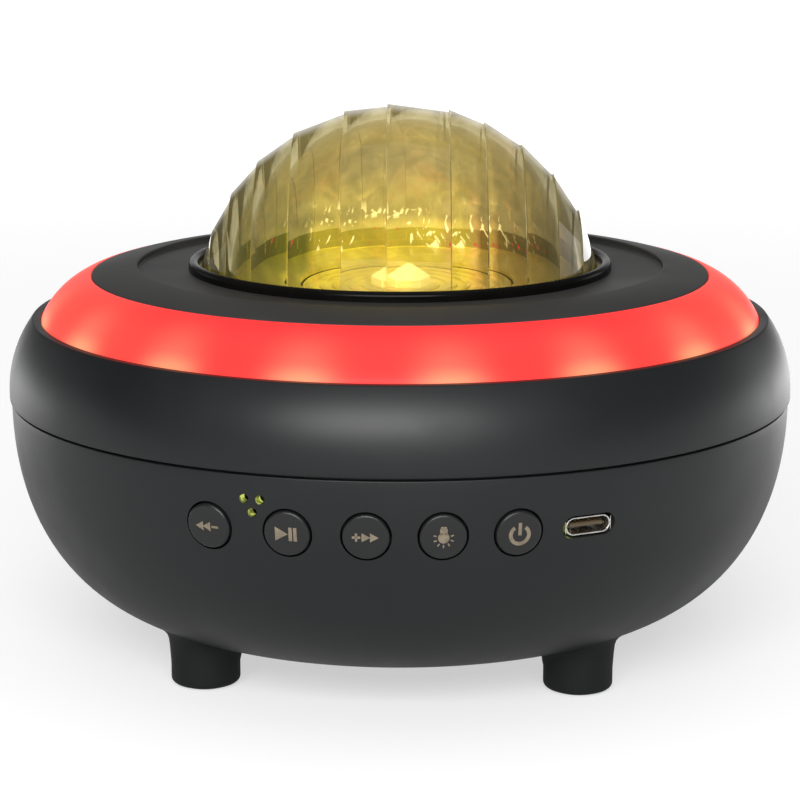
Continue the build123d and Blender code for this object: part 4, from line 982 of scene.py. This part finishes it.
port_back = PORT_FACE - PORT_DEPTH
can = bar_with_round_ends(PORT_WIDTH, PORT_HEIGHT, port_back, PORT_FACE, 14)
edit_mode()
pick_facing(FRONT)
bpy.ops.mesh.inset(thickness=PORT_WALL)
push((0, PORT_DEPTH - PORT_WALL, 0))
pick("EDGE", lambda e: all(v.co.y < WELD - PORT_FACE for v in e.verts) and not all(
    f.normal.dot(FRONT) > FACING for f in e.link_faces))
bpy.ops.mesh.bevel(offset=PORT_EDGE, segments=3, affect="EDGES")
object_mode()
hand_over(turned_copy(can, "port_can", PORT_AZIMUTH), port_metal, "housing", "port_metal", "port_shell")
bpy.data.objects.remove(can)

# %% Port tongue
TONGUE_WIDTH = 6.7 * MM
TONGUE_HEIGHT = 0.7 * MM
TONGUE_INSET = 0.7 * MM
TONGUE_EDGE = 0.15 * MM
CONTACTS = 6
CONTACT_WIDTH = 0.45 * MM
CONTACT_HEIGHT = 0.08 * MM
CONTACT_BACK = 3.0 * MM
CONTACT_INSET = 1.1 * MM
CONTACT_EDGE = 0.02 * MM


def small_box(width, height, near, far, edge, x=0.0, z=0.0):
    """A block with all its edges bevelled."""
    piece = block(width, height, near, far, x, z)
    pick_all()
    bpy.ops.mesh.bevel(offset=edge, segments=2, affect="EDGES")
    object_mode()
    return piece


blade = small_box(TONGUE_WIDTH, TONGUE_HEIGHT, port_back + PORT_WALL, PORT_FACE - TONGUE_INSET, TONGUE_EDGE)
blade.data.materials.append(tongue_tan)
contacts = []
for i in range(CONTACTS):
    x = (i - (CONTACTS - 1) / 2) * TONGUE_WIDTH / (CONTACTS + 1)
    for side in (-1, 1):
        contact = small_box(CONTACT_WIDTH, CONTACT_HEIGHT, port_back + CONTACT_BACK,
                            PORT_FACE - CONTACT_INSET, CONTACT_EDGE, x, side * TONGUE_HEIGHT / 2)
        contact.data.materials.append(gilt)
        contacts.append(contact)
tongue = joined([blade] + contacts)
hand_over(turned_copy(tongue, "port_blade", PORT_AZIMUTH), None, "housing", "insulator_black", "port_tongue")
bpy.data.objects.remove(tongue)

# %% [markdown]
# The four feet flare where they leave the bowl. A foot starts as a cylinder with a recess for its pad; its
# top is extruded in rings that widen, and each ring is shrinkwrapped to hang its own distance under the bowl,
# so the root follows the sloping skin like a fillet. One foot is made in front and swung to the four places.

# %% Feet
FOOT_NAMES = ("front_right", "rear_right", "rear_left", "front_left")
FOOT_AZIMUTH = 42.3
FOOT_PITCH_RADIUS = 50.3 * MM
FOOT_LIFT = low("front_right_foot").z
FOOT_TIP_RADIUS = 6.6 * MM
FOOT_EDGE = 1.0 * MM
FOOT_STRAIGHT_Z = 4.2 * MM
PAD_RADIUS = 5.0 * MM
PAD_TOP = high("foot_pads").z
ROOT_STEP = 0.1 * MM
ROOT_RINGS = ((6.82, 2.6), (6.98, 1.3), (7.25, 0.6), (7.75, 0.2), (8.4, 0.0))

foot = primitive(bpy.ops.mesh.primitive_cylinder_add, vertices=72, radius=FOOT_TIP_RADIUS,
                 depth=FOOT_STRAIGHT_Z - FOOT_LIFT,
                 location=(0, -FOOT_PITCH_RADIUS, (FOOT_STRAIGHT_Z + FOOT_LIFT) / 2))
edit_mode()
pick_facing(UP)
radius = FOOT_TIP_RADIUS
for number, (ring_radius, hang) in enumerate(ROOT_RINGS):
    push((0, 0, ROOT_STEP))
    wide = ring_radius * MM / radius
    bpy.ops.transform.resize(value=(wide, wide, 1), center_override=(0, -FOOT_PITCH_RADIUS, 0))
    radius = ring_radius * MM
    name_group(foot, "ring_" + str(number))
pick("FACE", lambda f: f.calc_center_median().z < FOOT_LIFT + WELD)
bpy.ops.mesh.inset(thickness=FOOT_TIP_RADIUS - PAD_RADIUS)
push((0, 0, PAD_TOP - FOOT_LIFT))


def on_foot_edge(vertex):
    reach = math.hypot(vertex.co.x, vertex.co.y + FOOT_PITCH_RADIUS)
    return vertex.co.z < FOOT_LIFT + WELD and reach > FOOT_TIP_RADIUS - WELD


pick("EDGE", lambda e: all(on_foot_edge(v) for v in e.verts))
bpy.ops.mesh.bevel(offset=FOOT_EDGE, segments=6, affect="EDGES")
object_mode()
for number, (ring_radius, hang) in enumerate(ROOT_RINGS):
    apply_modifier(foot, "SHRINKWRAP", target=bowl, wrap_method="PROJECT", vertex_group="ring_" + str(number),
                   offset=hang * MM, use_project_z=True, use_positive_direction=True,
                   use_negative_direction=False)
for number, name in enumerate(FOOT_NAMES):
    leg = turned_copy(foot, name + "_leg", FOOT_AZIMUTH + 90 * number)
    hand_over(leg, foot_black, "housing", "soft_black", name + "_foot", angle=50)
bpy.data.objects.remove(foot)

# %% [markdown]
# The upper shell starts straight at the seam and curls in to a lip that holds the lit ring. It is one turned
# outline: the crown outside, a shelf for the ring's lamps, and an upright that the ring's head rests on.

# %% Crown
BODY_RADIUS = high("upper_shell").x
CROWN_Z = SEAM_Z + 1.1 * MM
CROWN_CENTRE_RADIUS = 40.9 * MM
CROWN_RISE = 27.2 * MM
CROWN_FULLNESS = 2.1
RING_FOOT_RADIUS = high("light_ring").x
RING_HEAD_RADIUS = 61.1 * MM
SHELF_Z = low("light_ring").z
SHELF_UNDER_Z = SHELF_Z - WALL
SHELF_RADIUS = 45.9 * MM
UPRIGHT_Z = RING_HEAD_Z - 2.2 * MM
UPRIGHT_RADIUS = RING_HEAD_RADIUS + 1.5 * MM
UPRIGHT_INNER_RADIUS = RING_HEAD_RADIUS - 1.5 * MM
FIT = 0.15 * MM


def crown_curve(inset, top):
    """The crown's outline, moved inwards, from its widest point up to a height."""
    rise = CROWN_RISE - inset
    stop = math.degrees(math.asin(((top - CROWN_Z) / rise) ** (CROWN_FULLNESS / 2)))
    reach = (BODY_RADIUS - CROWN_CENTRE_RADIUS - inset, rise)
    return superellipse((CROWN_CENTRE_RADIUS, CROWN_Z), reach, CROWN_FULLNESS, stop)


outer = crown_curve(0.0, RING_FOOT_Z)
inner = crown_curve(WALL, SHELF_UNDER_Z)
shelf = [(RING_FOOT_RADIUS + FIT, RING_FOOT_Z), (RING_FOOT_RADIUS + FIT, SHELF_Z), (UPRIGHT_RADIUS, SHELF_Z),
         (UPRIGHT_RADIUS, UPRIGHT_Z), (UPRIGHT_INNER_RADIUS, UPRIGHT_Z), (UPRIGHT_INNER_RADIUS, SHELF_Z),
         (SHELF_RADIUS, SHELF_Z), (SHELF_RADIUS, SHELF_UNDER_Z)]
outline = [(BODY_RADIUS, SEAM_Z)] + outer + shelf + inner[::-1] + [(BODY_RADIUS - WALL, SEAM_Z)]
lip = len(outer)
crown = lathe("crown", outline, [(0, EDGE), (lip, EDGE), (lip + 1, EDGE)])
hand_over(crown, soft_black, "housing", "soft_black", "upper_shell")

# %% [markdown]
# The lit ring is a leaning band with a bulged face. Its outer and inner faces are arcs, so both come from one
# small arc function; a foot below it stands on the shelf and a head above it carries the plate.

# %% Lit ring
RING_BULGE = 1.35 * MM
RING_WALL = 2.0 * MM
ARC_POINTS = 14


def bulged(start, end, bulge):
    """Points on the arc between two (radius, height) points that bulges to the right of the way it runs."""
    a, b = Vector(start), Vector(end)
    chord = b - a
    side = Vector((chord.y, -chord.x)).normalized()
    half = chord.length / 2
    curve = (half * half + bulge * bulge) / (2 * bulge)
    centre = (a + b) / 2 + side * (bulge - curve)
    swing = math.asin(half / curve)
    points = []
    for i in range(ARC_POINTS + 1):
        turn = swing * (2 * i / ARC_POINTS - 1)
        point = centre + curve * (math.cos(turn) * side + math.sin(turn) * chord.normalized())
        points.append((point.x, point.y))
    return points


ring_foot = (RING_FOOT_RADIUS, RING_FOOT_Z)
ring_head = (RING_HEAD_RADIUS, RING_HEAD_Z)
inner_foot = (RING_FOOT_RADIUS - RING_WALL, RING_FOOT_Z - RING_WALL / 2)
inner_head = (UPRIGHT_RADIUS, UPRIGHT_Z)
face = bulged(ring_foot, ring_head, RING_BULGE)
back = bulged(inner_foot, inner_head, RING_BULGE)[::-1]
outline = [(RING_FOOT_RADIUS, SHELF_Z)] + face + [(RING_HEAD_RADIUS, UPRIGHT_Z)] + back
outline.append((RING_FOOT_RADIUS - RING_WALL, SHELF_Z))
ring = lathe("lit_band", outline, [(len(face), EDGE)])
hand_over(ring, lit_red, "housing", "lit_red", "light_ring")

# %% [markdown]
# The top plate slopes up from the ring to a ridge, steps down to a flat and stops at the well that holds the
# dome. The ridge and the step are small, but they draw the two fine lines on the plate, so their corners get
# a soft round. The polished collar sits on the flat, round the dome's foot.

# %% Top plate
PLATE_RADIUS = high("top_plate").x
RIDGE_Z = high("top_plate").z
RIDGE_RADIUS = PLATE_RADIUS - 9.0 * MM
FLAT_Z = DOME_FOOT_Z
FLANGE_Z = low("crystal_dome").z
LEDGE_Z = FLANGE_Z - 0.8 * MM
RIDGE_EDGE = 0.35 * MM
STEP_EDGE = 0.3 * MM
SLOPE_BULGE = 0.25 * MM
DOME_FLANGE_RADIUS = high("crystal_dome").x
WELL_RADIUS = DOME_FLANGE_RADIUS + FIT
PLATE_HOLE_RADIUS = WELL_RADIUS - 4.0 * MM
PLATE_UNDER_Z = FLAT_Z - WALL
PLATE_RIM_INNER = PLATE_RADIUS - 3.0 * MM
WELL_OUTER = WELL_RADIUS + 2.7 * MM
WELL_Z = LEDGE_Z - 1.6 * MM

slope = bulged((PLATE_RADIUS, RING_HEAD_Z), (RIDGE_RADIUS, RIDGE_Z), SLOPE_BULGE)
outline = slope + [(RIDGE_RADIUS, FLAT_Z), (WELL_RADIUS, FLAT_Z), (WELL_RADIUS, LEDGE_Z),
                   (PLATE_HOLE_RADIUS, LEDGE_Z), (PLATE_HOLE_RADIUS, WELL_Z), (WELL_OUTER, WELL_Z),
                   (WELL_OUTER, PLATE_UNDER_Z), (PLATE_RIM_INNER, PLATE_UNDER_Z),
                   (PLATE_RIM_INNER, UPRIGHT_Z), (PLATE_RADIUS, UPRIGHT_Z)]
ridge = len(slope) - 1
deck = lathe("deck", outline, [(0, EDGE), (ridge, RIDGE_EDGE), (ridge + 1, STEP_EDGE)])
hand_over(deck, plate_black, "housing", "plate_black", "top_plate")

# %% Collar
COLLAR_Z = high("dome_ring").z
COLLAR_EDGE = 0.95 * MM

outline = [(COLLAR_INNER, FLAT_Z), (COLLAR_RADIUS, FLAT_Z), (COLLAR_RADIUS, COLLAR_Z),
           (COLLAR_INNER, COLLAR_Z)]
collar = lathe("dome_collar", outline, [(2, COLLAR_EDGE), (3, COLLAR_EDGE)])
hand_over(collar, gloss_black, "housing", "gloss_black", "dome_ring")

# %% [markdown]
# The dome is cut like a jewel: facets lie side by side and run over the top from front to back, each one
# raised at its left edge, so its outline from the front is a row of small steps. That outline is drawn, its
# corners get a tiny round that catches the light, and it is spun about the level X axis into a loaf. A bisect
# gives it a flat foot, a boolean joins the flange that the collar holds down, and a ball hollows the inside.

# %% Dome
DOME_Z = FLAT_Z - DOME_SINK
FACET_STEP = 0.55 * MM
FACET_EDGE = 0.1 * MM
DOME_STEPS = 144
DOME_ROOT = 0.5 * MM

edges = [math.radians(angle) for angle in FACET_ANGLES]
stairs = [Vector((DOME_RADIUS * math.sin(edges[0]), 0, 0))]
body = DOME_RADIUS - FACET_STEP
for start, stop in zip(edges, edges[1:]):
    stairs.append(Vector((DOME_RADIUS * math.sin(start), 0, body * math.cos(start) + FACET_STEP)))
    stairs.append(Vector((DOME_RADIUS * math.sin(stop), 0, body * math.cos(stop))))
stairs.append(Vector((DOME_RADIUS * math.sin(edges[-1]), 0, 0)))
dome = start_outline("cut_dome")
draw(stairs)
for corner in stairs[1:-1]:
    round_corner(corner, FACET_EDGE, 2)
pick_all()
bpy.ops.mesh.spin(steps=DOME_STEPS, angle=math.tau, center=(0, 0, 0), axis=(1, 0, 0))
close_spin()
only(dome)
dome.location.z = DOME_Z
settle()
edit_mode()
pick_all()
bpy.ops.mesh.bisect(plane_co=(0, 0, FLAT_Z - DOME_ROOT), plane_no=(0, 0, 1), clear_inner=True, use_fill=True)
object_mode()
print("loaf with", len(FACET_ANGLES) - 1, "facets")

# %% Flange and hollow of the dome
DOME_WALL = 3.0 * MM

flange = primitive(bpy.ops.mesh.primitive_cylinder_add, vertices=SPIN_STEPS, radius=DOME_FLANGE_RADIUS,
                   depth=FLAT_Z - FLANGE_Z, location=(0, 0, (FLAT_Z + FLANGE_Z) / 2))
carve(dome, flange, "UNION")
hollow = primitive(bpy.ops.mesh.primitive_uv_sphere_add, segments=SPIN_STEPS, ring_count=SPIN_STEPS // 2,
                   radius=DOME_RADIUS - DOME_WALL, location=(0, 0, DOME_Z))
hollow.data.materials.append(crystal_inside)
dome.data.materials.clear()
dome.data.materials.append(crystal)
carve(dome, hollow)
hand_over(dome, None, "housing", "crystal", "crystal_dome", angle=8)

# %% [markdown]
# Through the dome one looks down on a shallow bright dish, a disc with ring-shaped ripples that turns, and a
# six-sided lens at its middle. Dish and disc are turned outlines; the lens starts as a six-sided cylinder
# whose top is drawn in to a blunt point and whose edges are bevelled and get a paler painted glow of their own.

# %% Dish
DISC_RADIUS = high("ripple_disc").x
DISC_TOP_Z = LEDGE_Z - 1.2 * MM
DISH_THICKNESS = 0.8 * MM
DISH_HOLE_RADIUS = DISC_RADIUS + 0.8 * MM
DISH_LAND_RADIUS = PLATE_HOLE_RADIUS - 1.5 * MM
DISH_BEND = 0.6 * MM
DISH_EDGE = 0.25 * MM

outline = [(DOME_FLANGE_RADIUS, LEDGE_Z), (DOME_FLANGE_RADIUS, FLANGE_Z), (DISH_LAND_RADIUS, FLANGE_Z),
           (DISH_HOLE_RADIUS, DISC_TOP_Z + DISH_THICKNESS), (DISH_HOLE_RADIUS, DISC_TOP_Z),
           (DISH_LAND_RADIUS, LEDGE_Z)]
dish = lathe("bright_dish", outline, [(2, DISH_BEND), (3, DISH_EDGE)])
hand_over(dish, reflector, "housing", "reflector", "reflector_dish")

# %% Disc
DISC_Z = DISC_TOP_Z - 1.5 * MM
HUB_RADIUS = 13.5 * MM
HUB_INNER = 12.0 * MM
HUB_Z = low("ripple_disc").z
LENS_RADIUS = 6.2 * MM
RIPPLES = 3
RIPPLE_DEPTH = 0.35 * MM
RIPPLE_EDGE = 0.3 * MM

outline = [(0.0, DISC_TOP_Z)]
pitch = (DISC_RADIUS - LENS_RADIUS) / (RIPPLES + 1)
for i in range(1, RIPPLES + 1):
    middle = LENS_RADIUS + i * pitch
    for offset, depth in ((-0.25, 0.0), (-0.25, RIPPLE_DEPTH), (0.25, RIPPLE_DEPTH), (0.25, 0.0)):
        outline.append((middle + offset * pitch, DISC_TOP_Z - depth))
outline += [(DISC_RADIUS, DISC_TOP_Z), (DISC_RADIUS, DISC_Z), (HUB_RADIUS, DISC_Z), (HUB_RADIUS, HUB_Z),
            (HUB_INNER, HUB_Z), (HUB_INNER, DISC_Z), (0.0, DISC_Z)]
groove_corners = [(number, RIPPLE_EDGE) for number in range(1, 4 * RIPPLES + 1)]
disc = lathe("rippled_disc", outline, groove_corners)
hand_over(disc, rippled, "lens_rotor", "clear_plastic", "ripple_disc")

# %% Lens
LENS_SKIRT = 1.6 * MM
LENS_TOP_Z = high("aurora_lens").z
LENS_TOP_RADIUS = 0.8 * MM
LENS_EDGE = 0.2 * MM

lens = primitive(bpy.ops.mesh.primitive_cylinder_add, vertices=6, radius=LENS_RADIUS, depth=LENS_SKIRT,
                 location=(0, 0, DISC_TOP_Z + LENS_SKIRT / 2), rotation=(0, 0, math.pi / 6))
lens.name = "hex_lens"
edit_mode()
pick_facing(UP)
crown_rise = LENS_TOP_Z - DISC_TOP_Z - LENS_SKIRT
push((0, 0, crown_rise))
drawn_in = LENS_TOP_RADIUS / LENS_RADIUS
bpy.ops.transform.resize(value=(drawn_in, drawn_in, 1), center_override=(0, 0, LENS_TOP_Z))
pick("EDGE", lambda e: max(v.co.z for v in e.verts) > DISC_TOP_Z + WELD)
bpy.ops.mesh.bevel(offset=LENS_EDGE, segments=2, affect="EDGES")
lens.data.materials.append(lens_face)
lens.data.materials.append(lens_edge_glow)
lens.active_material_index = 1
bpy.ops.object.material_slot_assign()
object_mode()
hand_over(lens, None, "lens_rotor", "clear_plastic", "aurora_lens", angle=20)

# %% [markdown]
# What is left of the frame shows only through the grille, the dome or the port, or not at all, but each node
# still gets a worked finish: plated steel, a green board, ferrite, pressed paper, woven cloth, wound copper, a
# sleeved cell and coloured leads. The imported material name of a node says which finish it takes.

# %% Helpers for the inner finishes
def inner_finish(name, dark, pale, rough, fineness, mottle, depth=0.02, **sockets):
    """A finish of two tones with a grain, for a piece inside."""
    finish, tree, shader = new_finish(name, **sockets)
    grain = grouped(tree, grain_group, Fineness=fineness, Mottle=mottle)
    feed(tree, shader,
         Base_Color=blend(tree, grain["Mottle"], dark, pale),
         Roughness=remap(tree, grain["Grain"], 0.2, 0.8, rough - 0.08, rough + 0.08),
         Normal=bump(tree, grain["Grain"], 0.3, depth * MM))
    return finish


def wound(name, dark, pale, pitch, rough, **sockets):
    """Fine even bands across the height of a piece, as wire, cloth or a turned face has."""
    finish, tree, shader = new_finish(name, Roughness=rough, **sockets)
    bands = add(tree, "ShaderNodeTexWave", {
        "Vector": place(tree), "Scale": 1 / (pitch * MM), "Distortion": 0.6,
    }, bands_direction="Z").outputs["Fac"]
    feed(tree, shader, Base_Color=blend(tree, bands, dark, pale), Normal=bump(tree, bands, 0.4, 0.05 * MM))
    return finish


def lit_finish(name, colour, glow, strength):
    """A small lamp: a pale body that glows in a mottle."""
    finish, tree, shader = new_finish(name, colour, Roughness=0.35, Emission_Strength=strength)
    cloud = grouped(tree, grain_group, Fineness=900.0, Mottle=500.0)["Mottle"]
    feed(tree, shader, Emission_Color=blend(tree, cloud, glow, tuple(0.7 * c for c in glow)))
    return finish


# %% Finishes of the inner pieces
inner_finishes = {
    "soft_black": soft_black,
    "plate_black": plate_black,
    "button_black": button_black,
    "rubber_black": rubber_black,
    "insulator_black": insulator,
    "port_metal": port_metal,
    "crystal": crystal,
    "reflector": reflector,
    "lit_red": lit_red,
    "gloss_black": gloss_black,
    "clear_plastic": inner_finish("clear_plastic", (0.80, 0.84, 0.50), (0.88, 0.90, 0.62), 0.18, 900.0, 200.0,
                                  Transmission_Weight=0.6, IOR=1.49),
    "white_plastic": inner_finish("white_plastic", (0.66, 0.65, 0.60), (0.74, 0.73, 0.69), 0.48, 1800.0,
                                  90.0),
    "steel": inner_finish("steel", (0.50, 0.50, 0.50), (0.62, 0.61, 0.60), 0.32, 2600.0, 300.0, Metallic=1.0),
    "board": inner_finish("board", (0.020, 0.110, 0.045), (0.045, 0.190, 0.080), 0.38, 1500.0, 420.0),
    "led": lit_finish("led", (0.85, 0.80, 0.50), (1.0, 0.78, 0.20), 1.0),
    "magnet": inner_finish("magnet", (0.030, 0.030, 0.032), (0.065, 0.064, 0.062), 0.62, 2200.0, 260.0, 0.06),
    "paper": inner_finish("paper", (0.022, 0.021, 0.020), (0.050, 0.048, 0.045), 0.86, 2400.0, 600.0, 0.08),
    "spider_cloth": wound("spider_cloth", (0.36, 0.22, 0.08), (0.58, 0.40, 0.18), 0.5, 0.85),
    "copper": wound("copper", (0.42, 0.17, 0.07), (0.80, 0.42, 0.22), 0.25, 0.30, Metallic=1.0),
    "cell_wrap": inner_finish("cell_wrap", (0.03, 0.09, 0.30), (0.05, 0.14, 0.42), 0.30, 800.0, 60.0),
    "lead_sleeve": inner_finish("lead_sleeve", (0.40, 0.03, 0.03), (0.52, 0.05, 0.05), 0.45, 1600.0, 250.0),
}
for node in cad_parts.values():
    packed = node.material_slots[0].material.name.split(".")[0]
    for holder in node.material_slots:
        holder.material = inner_finishes[packed]
print(len(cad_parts), "frame nodes have a worked finish")

# %% [markdown]
# The picture is a studio shot on white. A floor and the sky are white for the eye and through glass, and the
# floor keeps the shadow because a good part of its white is still plain diffuse. Gloss meets another room: a
# narrow white backdrop behind the object, a floor that is brightest at its foot, and dim walls elsewhere.
# That leaves the polished parts black and draws the pale edges of the shells. A wide softbox in front makes
# the sheen on the bulge, two weak strips stand behind at the sides, and one overhead lights the floor.

# %% Floor
FLOOR_SIZE = 6.0
FLOOR_DROP = 0.02 * MM
FLOOR_GREY = 0.50
WHITE = (1.0, 1.0, 1.0, 1.0)
WHITE_NEAR, WHITE_FAR = 0.57, 0.88
GLOSS_FRONT, GLOSS_BACK, GLOSS_FADED, GLOSS_SIDES = 0.30, 4.5, 0.4, 0.35


def seen_white(tree):
    """1 for what the eye meets straight or through glass, and 1 for what a gloss mirrors, as two values."""
    path = add(tree, "ShaderNodeLightPath").outputs
    through = path["Is Transmission Ray"]
    mirrored = reckon(tree, "SUBTRACT", path["Is Glossy Ray"], through, clamp=True)
    return reckon(tree, "MAXIMUM", path["Is Camera Ray"], through), mirrored


floor = primitive(bpy.ops.mesh.primitive_plane_add, size=FLOOR_SIZE, location=(0, 0, -FLOOR_DROP))
floor.name = "floor"
paper_white = bpy.data.materials.new("paper_white")
paper_white.use_nodes = True
tree = paper_white.node_tree
tree.nodes.remove(tree.nodes["Principled BSDF"])
eye, gloss = seen_white(tree)
away = add(tree, "ShaderNodeVectorMath", {0: place(tree)}, operation="LENGTH").outputs["Value"]
x, y, _ = axes(tree)
behind = reckon(tree, "ADD", remap(tree, y, 0.04, 0.36, GLOSS_FRONT, GLOSS_BACK),
                remap(tree, reckon(tree, "ABSOLUTE", x), 0.06, 0.2, 0.0, GLOSS_SIDES))
behind = times(tree, behind, remap(tree, x, -0.3, 0.3, 0.85, 1.25))
behind = times(tree, behind, remap(tree, y, 0.48, 0.85, 1.0, GLOSS_FADED))
own_white = times(tree, reckon(tree, "MAXIMUM", eye, times(tree, gloss, behind)),
                  remap(tree, away, 0.2, 1.2, WHITE_NEAR, WHITE_FAR))
matt = add(tree, "ShaderNodeBsdfDiffuse", {"Color": (FLOOR_GREY, FLOOR_GREY, FLOOR_GREY, 1.0)})
own = add(tree, "ShaderNodeEmission", {"Color": WHITE, "Strength": own_white})
both = add(tree, "ShaderNodeAddShader", {0: matt.outputs[0], 1: own.outputs[0]})
tree.links.new(both.outputs[0], tree.nodes["Material Output"].inputs["Surface"])
floor.data.materials.append(paper_white)
print("floor of", FLOOR_SIZE, "m")

# %% Sky
SKY_FILL = 0.42
ROOM_GLOSS = 0.10
BACKDROP_GLOSS = 0.75

world = bpy.data.worlds.new("studio")
bpy.context.scene.world = world
world.use_nodes = True
tree = world.node_tree
eye, gloss = seen_white(tree)
way = add(tree, "ShaderNodeSeparateXYZ", {0: add(tree, "ShaderNodeTexCoord").outputs["Generated"]}).outputs
backdrop = remap(tree, way["Y"], 0.88, 0.975, ROOM_GLOSS, BACKDROP_GLOSS)
strength = add(tree, "ShaderNodeMix", {"Factor": gloss, "A": SKY_FILL, "B": backdrop}, data_type="FLOAT")
strength = reckon(tree, "MAXIMUM", strength.outputs[0], eye)
tree.links.new(strength, tree.nodes["Background"].inputs["Strength"])
tree.nodes["Background"].inputs["Color"].default_value = WHITE
print("white sky made")


# %% Lamps
def softbox(name, azimuth, elevation, distance, width, height, radiance):
    """An area lamp that looks at the object, its power set by how bright its face is."""
    turn, lift = math.radians(azimuth), math.radians(elevation)
    lamp = bpy.data.lights.new(name, "AREA")
    lamp.shape = "RECTANGLE"
    lamp.size = width
    lamp.size_y = height
    lamp.energy = radiance * math.pi * width * height
    holder = bpy.data.objects.new(name, lamp)
    bpy.context.scene.collection.objects.link(holder)
    way = Vector((math.sin(turn) * math.cos(lift), -math.cos(turn) * math.cos(lift), math.sin(lift)))
    holder.location = LOOK_AT + distance * way
    holder.rotation_euler = way.to_track_quat("Z", "Y").to_euler()


LOOK_AT = Vector((0.0, 0.0, 47.8 * MM))
softbox("front_box", -5.0, 28.0, 0.9, 0.74, 0.28, 11.0)
softbox("left_strip", -125.0, 6.0, 0.9, 0.30, 0.40, 0.25)
softbox("right_strip", 125.0, 6.0, 0.9, 0.30, 0.40, 0.8)
softbox("overhead", 0.0, 88.0, 1.2, 1.2, 1.2, 0.6)
print(len(bpy.data.lights), "softboxes")

# %% [markdown]
# The camera stands in front, a little above the body, and has a long lens, so the ellipses of the ring and
# the plate stay as flat as they are in the picture. A wide lens close by would open them. Turning the
# camera's own Z axis to the line of sight aims it without a tracking constraint.

# %% Camera
CAMERA_DISTANCE = 0.501
CAMERA_ELEVATION = math.radians(12.35)

camera = bpy.data.cameras.new("camera")
camera.sensor_width = 36.0
camera.lens = 112.05
view = bpy.data.objects.new("camera", camera)
bpy.context.scene.collection.objects.link(view)
back_off = Vector((0, -math.cos(CAMERA_ELEVATION), math.sin(CAMERA_ELEVATION)))
view.location = LOOK_AT + CAMERA_DISTANCE * back_off
view.rotation_euler = back_off.to_track_quat("Z", "Y").to_euler()
bpy.context.scene.camera = view
bpy.context.scene.view_settings.view_transform = "Standard"
print("camera at", [round(v, 3) for v in view.location])
